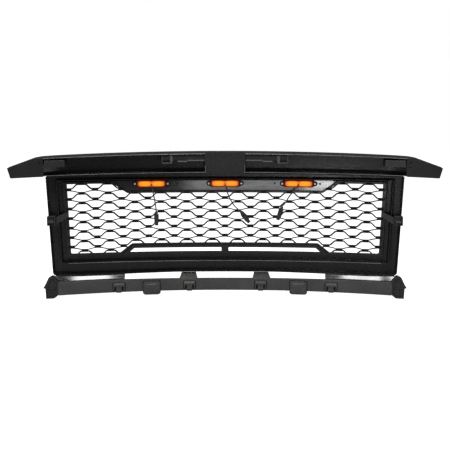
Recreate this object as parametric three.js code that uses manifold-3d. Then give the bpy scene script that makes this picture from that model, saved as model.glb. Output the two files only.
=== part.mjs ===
// Front grille of a full-size pickup, in millimetres.
// +X is the vehicle's right, +Y its front and +Z up; the origin is the centre of the flat face at
// the back of the header's centre pad. The grille is drawn flat, then bowed in plan, so that its
// ends sweep back around the nose of the vehicle.
import * as THREE from "three";
import { mergeVertices } from "three/addons/utils/BufferGeometryUtils.js";
import Module from "manifold-3d";

const wasm = await Module();
wasm.setup();

// Driving dimensions.
const BOW = 1.66e-4; // a point at x falls back by BOW * x * x
const WALL = 3; // moulded wall thickness
const CUT = 200; // reach of a cutting prism past the piece that it cuts
const CORNER_STEPS = 2; // straight pieces in a rounded corner
const SEAT = 1.3; // a flat piece stands off a bowed one by this much

const HEADER_HALF_WIDTH = 805;
const HEADER_CORNER = 705; // where the top edge turns down towards the tip
const HEADER_REAR = 4;
const HEADER_FRONT = 75;
const HEADER_TOP = 25;
const HEADER_BOTTOM = -56;
const HEADER_MIDDLE = -15;
const HEADER_CROWN = 2.7e-5; // fall of the top edge, times x * x
const BOTTOM_CROWN = 1.4e-5; // fall of the bottom edge, times x * x
const WING_SLOPE = 0.36; // fall of the top edge past the corner
const WING_START = 640; // where the front wall starts to close in
const WING_CLOSE = 0.28;
const END_COVER_START = 677;
const TIP_LEAN = 11; // the foot of each tip stands in by this much

const PAD_HALF_WIDTH = 76;
const PAD_HALF_HEIGHT = 27.5;

const MESH_REAR = 52;
const MESH_FRONT = 60;
const MESH_PITCH = 100;
const MESH_TAPER = 6e-5; // the pattern narrows towards the bottom
const ROW_PITCH = 37.1;
const ROW_DROP = 22.7; // from an upper dash to the lower dash of the same wave
const FIRST_ROW = -95.4;
const ROWS = 9;
const COLUMNS = 13;

const PANEL_REAR = 54;
const PANEL_TOP = -86;
const PANEL_BOTTOM = -126;
const PANEL_TOP_HALF = 431;
const PANEL_BOTTOM_HALF = 377;

const LAMP_PITCH = 284.5;
const LAMP_HEIGHT = -99;
const LAMP_LENGTH = 100;
const LAMP_TALL = 24;
const LAMP_SCREW = 63; // lamp centre to screw

const FRAME_FRONT = 75;
const FRAME_REAR = 36;
const LEDGE_START = 389;
const LEDGE_END = 651;
const BAR_REAR = 6;
const BAR_TOP = -466;
const BAR_BOTTOM = -512;
const BAR_DROP = 1.6e-5;
const BAR_HALF_WIDTH = 636;
const BRACKET_REAR = 4.8;

const LEAD_DIAMETER = 4.8;
const LEADS = [
  {
    route: [
      [-282.8, 20.9, -99], [-282.2, 15, -99], [-279.5, 6, -107], [-275, 5, -130],
      [-270, 11, -160], [-266.5, 16, -186], [-265, 17, -204],
    ],
    plug: [0.02, 0.02, -1],
  },
  {
    route: [
      [0, 34.3, -99], [0, 28, -99], [3, 20, -109], [9, 20, -131],
      [19, 22, -155], [37, 25, -184], [60, 26, -206],
    ],
    plug: [0.62, 0, -0.78],
  },
  {
    route: [
      [282.8, 20.9, -99], [282.2, 15, -99], [275, 6, -108], [260, 7, -127],
      [245, 12, -148], [233, 15, -169], [220, 16, -185],
    ],
    plug: [-0.3, 0, -0.95],
  },
];

const gloss = { color: 0x0b0b0c, roughness: 0.22, metalness: 0 };
const matte = { color: 0x2a2a28, roughness: 0.7, metalness: 0 };
const amber = { color: 0xff7a10, roughness: 0.2, metalness: 0 };
const rubber = { color: 0x101010, roughness: 0.85, metalness: 0 };
const steel = { color: 0xb9bcc0, roughness: 0.3, metalness: 1 };
const blackSteel = { color: 0x1a1a1b, roughness: 0.45, metalness: 0.8 };
const board = { color: 0xd8d8d0, roughness: 0.6, metalness: 0 };
const cable = { color: 0x34363a, roughness: 0.6, metalness: 0 };

const grille = new THREE.Group();

const bowAt = (x) => BOW * x * x;

function solid(geometry) {
  geometry.deleteAttribute("normal");
  geometry.deleteAttribute("uv");
  const merged = mergeVertices(geometry, 1e-3);
  return new wasm.Manifold(
    new wasm.Mesh({
      numProp: 3,
      vertProperties: new Float32Array(merged.attributes.position.array),
      triVerts: new Uint32Array(merged.index.array),
    }),
  );
}

function geometryOf(body) {
  const mesh = body.getMesh();
  const geometry = new THREE.BufferGeometry();
  geometry.setAttribute("position", new THREE.BufferAttribute(mesh.vertProperties, mesh.numProp));
  geometry.setIndex(new THREE.BufferAttribute(mesh.triVerts, 1));
  return geometry;
}

function add(name, body, look, parent = grille) {
  const geometry = body.isBufferGeometry ? body : geometryOf(body);
  const mesh = new THREE.Mesh(geometry, new THREE.MeshStandardMaterial(look));
  mesh.name = name;
  parent.add(mesh);
  return mesh;
}

function reshape(geometry, move) {
  const position = geometry.attributes.position;
  const point = new THREE.Vector3();
  for (let i = 0; i < position.count; i += 1) {
    point.fromBufferAttribute(position, i);
    move(point);
    position.setXYZ(i, point.x, point.y, point.z);
  }
  return geometry;
}

function bow(point) {
  point.y -= bowAt(point.x);
}

const outline = (points) => new THREE.Shape(points.map(([a, b]) => new THREE.Vector2(a, b)));

// A profile of [y, z] points, swept along X from x0 to x1.
function across(profile, x0, x1, steps = 1) {
  const geometry = new THREE.ExtrudeGeometry(outline(profile), {
    depth: x1 - x0,
    steps,
    bevelEnabled: false,
  });
  const turn = new THREE.Matrix4().set(0, 0, 1, x0, 1, 0, 0, 0, 0, 1, 0, 0, 0, 0, 0, 1);
  return geometry.applyMatrix4(turn);
}

// A shape drawn in X and Z, with its faces at y0 and y1.
function through(shape, y0, y1) {
  const geometry = new THREE.ExtrudeGeometry(shape, {
    depth: y1 - y0,
    bevelEnabled: false,
    curveSegments: CORNER_STEPS,
  });
  return geometry.rotateX(Math.PI / 2).translate(0, y1, 0);
}

const cutter = (points) => solid(through(outline(points), -CUT, CUT));

// A bowed bar with a rectangular section.
function bowedBar(y0, y1, z0, z1, x0, x1, steps) {
  return across([[y0, z0], [y1, z0], [y1, z1], [y0, z1]], x0, x1, steps);
}

function box(x0, x1, y0, y1, z0, z1) {
  const geometry = new THREE.BoxGeometry(x1 - x0, y1 - y0, z1 - z0);
  return geometry.translate((x0 + x1) / 2, (y0 + y1) / 2, (z0 + z1) / 2);
}

const boxSolid = (...sides) => solid(box(...sides));
const bowedBox = (...sides) => solid(reshape(box(...sides), bow));

function drill(x, z, radius) {
  const hole = new THREE.CylinderGeometry(radius, radius, 2 * CUT, 8);
  return solid(hole.translate(x, 0, z));
}

const mirrored = (points) => [
  ...points,
  ...points.map(([x, z]) => [-x, z]).reverse(),
];

function roundedRectangle(width, height, radius) {
  const x = width / 2;
  const y = height / 2;
  const shape = new THREE.Shape();
  shape.moveTo(-x + radius, -y);
  shape.lineTo(x - radius, -y);
  shape.absarc(x - radius, -y + radius, radius, -Math.PI / 2, 0);
  shape.absarc(x - radius, y - radius, radius, 0, Math.PI / 2);
  shape.absarc(-x + radius, y - radius, radius, Math.PI / 2, Math.PI);
  shape.absarc(-x + radius, -y + radius, radius, Math.PI, 1.5 * Math.PI);
  return shape;
}

// Header bar: a channel open to the back, closed at both tips.

function followHeader(point) {
  const side = Math.abs(point.x);
  const top = HEADER_CROWN * Math.min(side, HEADER_CORNER) ** 2;
  const wing = WING_SLOPE * Math.max(0, side - HEADER_CORNER);
  const bottom = BOTTOM_CROWN * side ** 2;
  const close = WING_CLOSE * Math.max(0, side - WING_START);
  const outward = Math.max(0, side - HEADER_CORNER) / (HEADER_HALF_WIDTH - HEADER_CORNER);
  const depth = (HEADER_TOP - point.z) / (HEADER_TOP - HEADER_BOTTOM);
  point.x -= Math.sign(point.x) * TIP_LEAN * outward * depth;
  point.z -= point.z > HEADER_MIDDLE ? top + wing : bottom;
  point.y -= point.y > HEADER_FRONT / 2 ? close : 0;
  bow(point);
}

function headerBar() {
  const lip = 5; // the flanges lean in towards the back by this much
  const leanTop = HEADER_TOP - lip;
  const leanBottom = HEADER_BOTTOM + lip / 2;
  const inner = HEADER_FRONT - WALL;
  const skin = [
    [HEADER_REAR, leanTop], [HEADER_FRONT, HEADER_TOP],
    [HEADER_FRONT, HEADER_BOTTOM], [HEADER_REAR, leanBottom],
  ];
  const inside = [
    [HEADER_REAR, leanBottom + WALL], [inner, HEADER_BOTTOM + WALL],
    [inner, HEADER_TOP - WALL], [HEADER_REAR, leanTop - WALL],
  ];
  const width = HEADER_HALF_WIDTH;
  const channel = solid(reshape(across([...skin, ...inside], -width, width, 46), followHeader));
  const tips = [-width, width - WALL].map((x) => {
    return solid(reshape(across(skin, x, x + WALL), followHeader));
  });
  const notch = boxSolid(-PAD_HALF_WIDTH - 1, PAD_HALF_WIDTH + 1, -5, 9, -70, 40);
  return channel.add(tips[0]).add(tips[1]).subtract(notch);
}

function headerEnd(side) {
  const start = side > 0 ? END_COVER_START : -HEADER_HALF_WIDTH;
  const length = HEADER_HALF_WIDTH - END_COVER_START;
  const plate = bowedBar(0, WALL, HEADER_BOTTOM + 1, HEADER_TOP - 3, start, start + length, 5);
  const cover = solid(reshape(plate, followHeader));
  const upper = drill(side * 690, 2, 3);
  const lower = drill(side * 690, -17, 3);
  return cover.subtract(upper).subtract(lower);
}

// A hollow box moulded inside the header, with its flat mounting face to the back.
function headerBlock(side) {
  const near = side * 600;
  const far = side * 674;
  const low = Math.min(near, far);
  const high = Math.max(near, far);
  const outer = bowedBox(low, high, 2, 56, -26, -1);
  const hollow = bowedBox(low + WALL, high - WALL, 2 + WALL, 60, -26 + WALL, -1 - WALL);
  return outer.subtract(hollow);
}

function centrePad() {
  const half = PAD_HALF_WIDTH;
  const face = PAD_HALF_HEIGHT;
  const foot = -57;
  const plate = across(
    [[0, face], [0, -face], [4.5, foot], [7.5, foot], [WALL, -face], [WALL, face]],
    -half,
    half,
  );
  const walls = boxSolid(-half + 4, half - 4, 1, 69, -46, 13);
  const hollow = boxSolid(-half + 4 + WALL, half - 4 - WALL, WALL, 80, -46 + WALL, 13 - WALL);
  let pad = solid(plate).add(walls).subtract(hollow);
  for (const side of [-1, 1]) {
    const reach = side > 0 ? [half - 6, 240] : [-240, -half + 6];
    const arm = solid(reshape(bowedBar(12, 15, -7, 12, ...reach, 6), bow));
    const ear = bowedBox(side > 0 ? 188 : -240, side > 0 ? 240 : -188, 8, 24, -19, 12);
    pad = pad.add(arm).add(ear);
  }
  return pad;
}

// Surround: a ring with a front face and two walls standing back from it.

function frameRing(outer, inner, y0, y1) {
  const slab = solid(reshape(bowedBar(y0, y1, -460, -50, -690, 690, 20), bow));
  return slab.intersect(cutter(outer)).subtract(cutter(inner));
}

const frameOutline = (grow) =>
  mirrored([
    [-677 - grow, -64 + grow], [-660 - grow, -438 - grow / 2], [-652 - grow / 2, -446 - grow],
    [-560, -449 - grow], [-389, -449 - grow], [-195, -445 - grow],
  ]).concat([[338, -59.2 + grow], [0, -57.4 + grow], [-338, -59.2 + grow]]);

const wallOutline = (grow) => [
  [-636 - grow, -82 + grow], [-624 - grow, -399 - grow],
  [624 + grow, -399 - grow], [636 + grow, -82 + grow],
];

function surround() {
  const opening = [[-606, -92], [-596, -369], [596, -369], [606, -92]];
  const face = frameRing(frameOutline(0), opening, FRAME_FRONT - WALL, FRAME_FRONT);
  const outer = frameRing(frameOutline(0), frameOutline(-WALL), FRAME_REAR, FRAME_FRONT - 1);
  const inner = frameRing(wallOutline(WALL), wallOutline(0), FRAME_REAR, FRAME_FRONT - 1);
  return face.add(outer).add(inner);
}

// A sloping ledge under the surround's bottom wall, just clear of it.
function ledge(side) {
  const reach = side > 0 ? [LEDGE_START, LEDGE_END] : [-LEDGE_END, -LEDGE_START];
  const top = -449.4;
  const profile = [[39, top], [39, -453.4], [27.2, -467], [25.2, -465.2], [36, -454.4], [36, top]];
  return solid(reshape(across(profile, ...reach, 12), (point) => {
    const side = Math.abs(point.x);
    const rise = 0.033 * Math.max(0, side - 560);
    const foot = 0.001 * Math.max(0, side - 590) ** 2 - BAR_DROP * side * side;
    point.z += point.z < -460 ? foot : rise;
    bow(point);
  }));
}

// Mesh panel: a bowed plate with rows of six-sided openings between wavy bars.

const DASH = 10.5; // half length of a dash
const UPPER_FLAT = 17.5; // half length of the wave's flat under an upper dash
const LOWER_FLAT = 15; // half length of the wave's flat over a lower dash
const BAR_HALF = 2.3; // half thickness of the wavy bar
const ARCH = 7.4; // rise of the thin bar between two dashes
const ARCH_HALF = 1.3;

// The opening over a lower dash: wide at its top, which follows the thin arched bar.
function upperOpening(x, row) {
  const reach = MESH_PITCH / 2;
  const top = row + 3 - ARCH_HALF;
  const bottom = row - ROW_DROP + 3 + BAR_HALF;
  return [
    [x - reach + DASH, top], [x - reach + UPPER_FLAT, row - 3 + BAR_HALF],
    [x - LOWER_FLAT + 1, bottom], [x + LOWER_FLAT - 1, bottom],
    [x + reach - UPPER_FLAT, row - 3 + BAR_HALF], [x + reach - DASH, top], [x, top + ARCH],
  ];
}

// The opening under an upper dash: wide at its bottom, which follows the next thin bar.
function lowerOpening(x, row) {
  const reach = MESH_PITCH / 2;
  const top = row - 3 - BAR_HALF;
  const next = row - ROW_PITCH;
  const bottom = next + 3 + ARCH_HALF;
  const corner = row - ROW_DROP;
  return [
    [x - UPPER_FLAT + 1, top], [x - reach + LOWER_FLAT, corner + 3 - BAR_HALF],
    [x - reach + DASH, bottom + ARCH * 0.9], [x, bottom], [x + reach - DASH, bottom + ARCH * 0.9],
    [x + reach - LOWER_FLAT, corner + 3 - BAR_HALF], [x + UPPER_FLAT - 1, top],
  ];
}

const tapered = (points) => points.map(([x, z]) => [x * (1 + MESH_TAPER * (z - FIRST_ROW)), z]);

function meshOpenings() {
  const openings = [];
  for (let row = 0; row < ROWS; row += 1) {
    const height = FIRST_ROW - row * ROW_PITCH;
    for (let column = 0; column < COLUMNS; column += 1) {
      const x = (column - (COLUMNS - 1) / 2) * MESH_PITCH;
      openings.push(cutter(tapered(upperOpening(x, height))));
      openings.push(cutter(tapered(lowerOpening(x + MESH_PITCH / 2, height))));
    }
    openings.push(cutter(tapered(lowerOpening((-COLUMNS * MESH_PITCH) / 2, height))));
  }
  return wasm.Manifold.compose(openings);
}

const MESH_SCREWS = [[-609.5, -150], [-601.5, -330], [-520, -372.5], [520, -372.5], [601.5, -330], [609.5, -150]];
const PANEL_SCREWS = [-366, -192, 192, 366];
const INSERT_SCREWS = [-170, 170];
const INSERT_SCREW_HEIGHT = -373.5;

function standoff(x, z, y0) {
  const y1 = FRAME_FRONT - WALL - SEAT;
  const post = new THREE.CylinderGeometry(4, 4, y1 - y0, 8);
  return solid(post.translate(x, (y1 + y0) / 2 - bowAt(x), z));
}

function meshPanel() {
  const plate = solid(reshape(bowedBar(MESH_REAR, MESH_FRONT, -380, -80, -620, 620, 24), bow));
  const edge = cutter([[-618, -88], [-607, -377], [607, -377], [618, -88]]);
  const panelNotch = cutter([[-458, -70], [-377, -127], [377, -127], [458, -70]]);
  const insertNotch = cutter([[-360, -338], [-416, -385], [416, -385], [360, -338]]);
  const window = cutter(
    mirrored([[-377, -135], [-431, -97], [-605, -97], [-594, -368], [-409, -368], [-362, -332]]),
  );
  let panel = plate.intersect(edge).subtract(panelNotch).subtract(insertNotch);
  panel = panel.subtract(meshOpenings().intersect(window));
  for (const x of PANEL_SCREWS) {
    const tab = bowedBox(x - 7, x + 7, 57.6, 59.6, -131, -91);
    panel = panel.add(tab).subtract(drill(x, LAMP_HEIGHT, 2.1));
  }
  for (const [x, z] of MESH_SCREWS) {
    panel = panel.add(standoff(x, z, MESH_REAR + 2)).subtract(drill(x, z, 2.1));
  }
  return panel;
}

function lowerInsert() {
  const bar = solid(reshape(bowedBar(MESH_REAR, MESH_FRONT, -380, -330, -420, 420, 16), bow));
  const edge = cutter([[-359.5, -339.3], [-404.5, -377], [404.5, -377], [359.5, -339.3]]);
  let insert = bar.intersect(edge);
  for (const side of [-1, 1]) {
    insert = insert.subtract(cutter([[side * 14, -351], [side * 14, -369], [side * 374, -369], [side * 353, -351]]));
  }
  for (const x of INSERT_SCREWS) {
    insert = insert.add(standoff(x, INSERT_SCREW_HEIGHT, MESH_REAR + 2));
    insert = insert.subtract(drill(x, INSERT_SCREW_HEIGHT, 2.1));
  }
  return insert;
}

// LED panel and its lamps.

const lampPlaces = [-1, 0, 1].map((place) => {
  const x = place * LAMP_PITCH;
  const slope = -2 * BOW * x;
  return { x, y: PANEL_REAR - SEAT - bowAt(x), turn: Math.atan(slope) };
});

function lampTransform({ x, y, turn }) {
  const matrix = new THREE.Matrix4().makeRotationZ(turn);
  return matrix.setPosition(x, y, LAMP_HEIGHT);
}

function ledPanel() {
  const flange = PANEL_REAR + 14;
  const face = PANEL_REAR + WALL;
  const profile = [
    [PANEL_REAR, PANEL_BOTTOM], [face, PANEL_BOTTOM], [face, PANEL_TOP - WALL],
    [flange, PANEL_TOP - WALL], [flange, PANEL_TOP], [PANEL_REAR, PANEL_TOP],
  ];
  const sheet = across(profile, -PANEL_TOP_HALF, PANEL_TOP_HALF, 18);
  const taper = (PANEL_TOP_HALF - PANEL_BOTTOM_HALF) / (PANEL_TOP - PANEL_BOTTOM) / PANEL_TOP_HALF;
  reshape(sheet, (point) => {
    point.x *= 1 - taper * (PANEL_TOP - point.z);
    bow(point);
  });
  let panel = solid(sheet);
  for (const place of lampPlaces) {
    const window = through(roundedRectangle(LAMP_LENGTH - 6, LAMP_TALL - 5, 6), -20, 20);
    panel = panel.subtract(solid(window.applyMatrix4(lampTransform(place))));
    for (const side of [-1, 1]) {
      panel = panel.subtract(drill(place.x + side * LAMP_SCREW * Math.cos(place.turn), LAMP_HEIGHT, 2.3));
    }
  }
  for (const x of PANEL_SCREWS) {
    panel = panel.subtract(drill(x, LAMP_HEIGHT, 2.1));
  }
  return panel;
}

// The lamp's footprint: a rounded body with an ear at each end.
function earShape(grow) {
  const radius = 7 + grow;
  const shoulder = LAMP_LENGTH / 2 + grow / 2;
  const side = LAMP_TALL / 2 + grow;
  const shape = new THREE.Shape();
  shape.moveTo(LAMP_SCREW, -radius);
  shape.absarc(LAMP_SCREW, 0, radius, -Math.PI / 2, Math.PI / 2);
  shape.lineTo(shoulder, side);
  shape.lineTo(-shoulder, side);
  shape.lineTo(-LAMP_SCREW, radius);
  shape.absarc(-LAMP_SCREW, 0, radius, Math.PI / 2, 1.5 * Math.PI);
  shape.lineTo(-shoulder, -side);
  shape.lineTo(shoulder, -side);
  return shape;
}

const rounded = (width, height, y0, y1) => solid(through(roundedRectangle(width, height, 6), y0, y1));

function lampHousing() {
  const flange = solid(through(earShape(0), -5, -2.6));
  const body = rounded(LAMP_LENGTH, LAMP_TALL, -14, -2.6);
  const hollow = rounded(LAMP_LENGTH - 5, LAMP_TALL - 5, -11.5, 5);
  const boss = solid(new THREE.CylinderGeometry(5, 5, 5, 12).translate(0, -15.5, 0));
  const holes = drill(-LAMP_SCREW, 0, 2.3).add(drill(LAMP_SCREW, 0, 2.3));
  return flange.add(body).add(boss).subtract(hollow).subtract(holes);
}

function lampGasket() {
  const sheet = solid(through(earShape(2.6), -2.3, -0.4));
  const window = rounded(LAMP_LENGTH - 5, LAMP_TALL - 5, -5, 5);
  const holes = drill(-LAMP_SCREW, 0, 2.3).add(drill(LAMP_SCREW, 0, 2.3));
  return sheet.subtract(window).subtract(holes);
}

function lampLens() {
  const skin = rounded(LAMP_LENGTH - 9, LAMP_TALL - 8, -6, 9);
  return skin.subtract(rounded(LAMP_LENGTH - 13, LAMP_TALL - 12, -10, 6.5));
}

// A pan-head screw along +Y: head from y = 0 back, and a shaft of the given length.
function screw(length) {
  const profile = [[0, -2.8], [3, -2.6], [4, 0], [1.7, 0], [1.7, length], [0, length]];
  const points = profile.map(([radius, y]) => new THREE.Vector2(radius, y));
  const geometry = new THREE.LatheGeometry(points, 8);
  geometry.deleteAttribute("normal");
  geometry.deleteAttribute("uv");
  return mergeVertices(geometry, 1e-3);
}

function addLamp(place, number) {
  const group = new THREE.Group();
  group.position.set(place.x, place.y, LAMP_HEIGHT);
  group.rotation.z = place.turn;
  add(`lamp_${number}_housing`, lampHousing(), amber, group);
  add(`lamp_${number}_gasket`, lampGasket(), rubber, group);
  add(`lamp_${number}_lens`, lampLens(), amber, group);
  add(`lamp_${number}_board`, box(-42, 42, -9.6, -8, -7, 7), board, group);
  for (const [label, side] of [["left", -1], ["right", 1]]) {
    const fixing = add(`lamp_${number}_screw_${label}`, screw(11), steel, group);
    fixing.position.set(side * LAMP_SCREW, -5.3, 0);
  }
  grille.add(group);
}

// Each lamp's lead and the plug at its end.

function leadTube(route) {
  const path = new THREE.CatmullRomCurve3(route.map((point) => new THREE.Vector3(...point)));
  const section = new THREE.Shape();
  const sides = 8;
  for (let i = 0; i < sides; i += 1) {
    const angle = (2 * Math.PI * i) / sides;
    const x = (LEAD_DIAMETER / 2) * Math.cos(angle);
    const y = (LEAD_DIAMETER / 2) * Math.sin(angle);
    section[i === 0 ? "moveTo" : "lineTo"](x, y);
  }
  return new THREE.ExtrudeGeometry(section, { steps: 13, bevelEnabled: false, extrudePath: path });
}

// Two-pin plug, with its cable entry at the origin and its nose along -Z.
function plugBody() {
  const collar = boxSolid(-5.5, 5.5, -4, 4, -12, 0);
  const shell = boxSolid(-8.5, 8.5, -5.5, 5.5, -42, -9);
  const nose = boxSolid(-6.5, 6.5, -4, 4, -54, -40);
  const latch = boxSolid(-3, 3, -9, -7, -46, -14);
  const root = boxSolid(-3, 3, -9, -4, -18, -14);
  const slot = boxSolid(-4.5, 4.5, -2, 2, -60, -46);
  return collar.add(shell).add(nose).add(latch).add(root).subtract(slot);
}

function addLead({ route, plug }, number) {
  add(`lead_${number}`, leadTube(route), cable);
  const direction = new THREE.Vector3(...plug).normalize();
  const end = new THREE.Vector3(...route[route.length - 1]);
  const body = add(`plug_${number}`, plugBody(), rubber);
  body.quaternion.setFromUnitVectors(new THREE.Vector3(0, 0, -1), direction);
  body.position.copy(end.addScaledVector(direction, 0.8));
}

// Lower bar, with the bosses and tongues that locate it.

const CLIP_PLACES = [-409, -138, 138, 409];
const TONGUE_PLACE = 284;
const TAB_PLACE = 142;

function dropBar(point) {
  point.z -= BAR_DROP * point.x * point.x;
  bow(point);
}

// The bar's lower edge drops towards the ends; its upper edge hardly does.
function deepenBar(point) {
  point.z += point.z > BAR_TOP - 10 ? 0.9 * BAR_DROP * point.x * point.x : 0;
  dropBar(point);
}

const droppedBox = (...sides) => solid(reshape(box(...sides), dropBar));

function lowerBar() {
  const rear = BAR_REAR;
  const front = BAR_REAR + 18;
  const profile = [
    [rear, BAR_TOP], [front, BAR_TOP], [front, BAR_TOP - WALL], [rear + WALL, BAR_TOP - WALL],
    [rear + WALL, BAR_BOTTOM + WALL], [front, BAR_BOTTOM + WALL], [front, BAR_BOTTOM], [rear, BAR_BOTTOM],
  ];
  let bar = solid(reshape(across(profile, -BAR_HALF_WIDTH, BAR_HALF_WIDTH, 26), deepenBar));
  for (const x of CLIP_PLACES) {
    bar = bar.add(droppedBox(x - 22, x + 22, 0, rear + 1, -488.5, -476));
    bar = bar.add(droppedBox(x - 11, x + 11, 0, WALL, -508, -487));
  }
  for (const side of [-1, 1]) {
    bar = bar.add(droppedBox(side * TONGUE_PLACE - 32, side * TONGUE_PLACE + 32, 1, rear + 1, -525, -473));
    bar = bar.add(lowerBarTab(side));
  }
  return bar;
}

// A sloping tab that reaches up to the bottom wall of the surround.
function lowerBarTab(side) {
  const profile = [[11, BAR_TOP - 1], [11, BAR_TOP + 3], [50, -448.6], [53, -448.6], [15, BAR_TOP - 1]];
  const tab = across(profile, -36, 36, 2);
  return solid(reshape(tab, (point) => {
    const rise = (point.z - BAR_TOP + 1) / 18.4;
    point.x *= 1 - 0.22 * Math.max(0, rise);
    point.x += side * TAB_PLACE;
    bow(point);
  }));
}

// A sheet-metal retainer bent to a U, pushed over a tongue that points along -Z.
function retainer() {
  const leg = 1.2;
  const gap = 0.7;
  const rear = -gap - leg;
  const front = WALL + gap + leg;
  const profile = [
    [rear, 0], [rear, -22.5], [front, -22.5], [front, -1], [front - leg, -1],
    [front - leg, -22.5 + leg], [rear + leg, -22.5 + leg], [rear + leg, 0],
  ];
  return across(profile, -9.5, 9.5);
}

function addLowerRetainer(x, number) {
  const clip = add(`lower_retainer_${number}`, retainer(), steel);
  clip.rotation.z = Math.atan(-2 * BOW * x);
  clip.position.set(x, -bowAt(x), -489.8 - BAR_DROP * x * x);
}

// The end of the lower bar, with a barb, a flat foot and a chamfered inner side.
function cornerBracket(side) {
  const points = [
    [-659, -441], [-671, -447], [-684, -474], [-692, -487], [-684, -489], [-682, -529],
    [-653, -529], [-638, -518], [-637, -462], [-645, -452], [-652, -442],
  ];
  const shape = outline(points.map(([x, z]) => [-side * x, z]));
  const plate = reshape(through(shape, BRACKET_REAR, BRACKET_REAR + 20), bow);
  return solid(plate);
}

// Side bracket: a strap across the post, and a head that carries the retainer's tongue.
function sideBracket(side) {
  const strap = outline([
    [side * 598, -200], [side * 598, -221], [side * 645, -250], [side * 645, -221],
  ]);
  const low = side > 0 ? 641 : -671;
  const head = bowedBox(low, low + 30, 8, 34, -248, -212);
  const tongue = bowedBox(low + 5, low + 25, -12, 10, -231.5, -228.5);
  const arm = solid(reshape(through(strap, 31, 34), bow));
  return head.add(tongue).add(arm);
}

function addSideRetainer(side) {
  const x = side * 656;
  const clip = add(`side_retainer_${side > 0 ? "right" : "left"}`, retainer(), steel);
  clip.rotation.set(-Math.PI / 2, 0, Math.atan(-2 * BOW * x), "ZXY");
  clip.position.set(x, 6.6 - bowAt(x), -228.5);
}

function addScrew(name, x, y, z, length) {
  const fixing = add(name, screw(length), blackSteel);
  const lean = 2 * BOW * Math.abs(x) * 4;
  fixing.position.set(x, y - bowAt(x) - lean, z);
}

for (const [label, side] of [["left", -1], ["right", 1]]) {
  add(`header_end_${label}`, headerEnd(side), matte);
  add(`header_block_${label}`, headerBlock(side), matte);
  add(`corner_bracket_${label}`, cornerBracket(side), matte);
  add(`side_bracket_${label}`, sideBracket(side), matte);
  add(`ledge_${label}`, ledge(side), gloss);
  addSideRetainer(side);
}
add("header_bar", headerBar(), gloss);
add("centre_pad", centrePad(), matte);
add("surround", surround(), gloss);
add("mesh_panel", meshPanel(), gloss);
add("lower_insert", lowerInsert(), gloss);
add("led_panel", ledPanel(), gloss);
add("lower_bar", lowerBar(), matte);
lampPlaces.forEach((place, index) => addLamp(place, index + 1));
LEADS.forEach((lead, index) => addLead(lead, index + 1));
CLIP_PLACES.forEach((x, index) => addLowerRetainer(x, index + 1));
PANEL_SCREWS.forEach((x, index) => addScrew(`panel_screw_${index + 1}`, x, PANEL_REAR - 0.3, LAMP_HEIGHT, 8));
MESH_SCREWS.forEach(([x, z], index) => addScrew(`mesh_screw_${index + 1}`, x, MESH_REAR - 0.3, z, 19));
INSERT_SCREWS.forEach((x, index) => {
  addScrew(`insert_screw_${index + 1}`, x, MESH_REAR - 0.3, INSERT_SCREW_HEIGHT, 19);
});

export default grille;
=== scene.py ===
"""Front grille: builds the looks of the grille around its fixed frame."""

import math

import bpy
from mathutils import Matrix, Vector


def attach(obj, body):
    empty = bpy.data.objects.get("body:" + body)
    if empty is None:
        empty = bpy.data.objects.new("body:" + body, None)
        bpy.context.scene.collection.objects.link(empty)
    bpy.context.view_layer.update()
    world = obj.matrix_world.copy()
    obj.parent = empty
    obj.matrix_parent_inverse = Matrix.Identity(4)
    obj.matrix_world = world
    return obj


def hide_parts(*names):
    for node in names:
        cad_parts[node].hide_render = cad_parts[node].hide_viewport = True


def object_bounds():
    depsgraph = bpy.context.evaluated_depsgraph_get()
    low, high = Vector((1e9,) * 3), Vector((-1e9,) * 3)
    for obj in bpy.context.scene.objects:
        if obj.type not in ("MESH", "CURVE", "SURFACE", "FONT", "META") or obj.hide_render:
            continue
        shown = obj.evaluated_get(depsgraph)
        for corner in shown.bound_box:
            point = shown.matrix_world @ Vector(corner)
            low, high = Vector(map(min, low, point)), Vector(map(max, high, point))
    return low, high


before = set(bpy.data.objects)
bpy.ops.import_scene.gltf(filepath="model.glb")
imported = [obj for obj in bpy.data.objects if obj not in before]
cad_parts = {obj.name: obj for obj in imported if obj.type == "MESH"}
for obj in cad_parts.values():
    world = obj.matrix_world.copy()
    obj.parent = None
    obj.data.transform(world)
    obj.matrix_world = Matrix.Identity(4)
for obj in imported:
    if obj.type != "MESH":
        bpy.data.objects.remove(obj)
CAD_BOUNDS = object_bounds()

bl_info = {
    "name": "Front Grille Builder",
    "version": (1, 0, 0),
    "blender": (4, 5, 0),
    "location": "View3D > Sidebar > Grille",
    "description": "Models the pieces, finishes and stage of a pickup front grille",
    "category": "Object",
}

# Sizes in the piece functions are in millimetres, and become metres as each piece is made.
MM = 0.001
BODY = "root"
SIDES = {-1: "left", 1: "right"}

# Header and centre pad.
HEADER_HALF_WIDTH = 805
HEADER_CORNER = 705
HEADER_TOP = 25
HEADER_HEIGHT = 81
WING_START = 640
END_COVER_START = 677
PAD_HALF_WIDTH = 76
PAD_HALF_HEIGHT = 27.4
EAR_START = 188
EAR_END = 240

# How the header falls and leans, from a middle height and a middle depth outwards.
HEADER_DROOP = 0.027
WING_SLOPE = 0.36
FOOT_DROOP = 0.014
WING_DRAW = 0.28
TIP_LEAN = 0.11
HEADER_MIDDLE = -15
HEADER_HALF_DEPTH = 37.5

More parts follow.
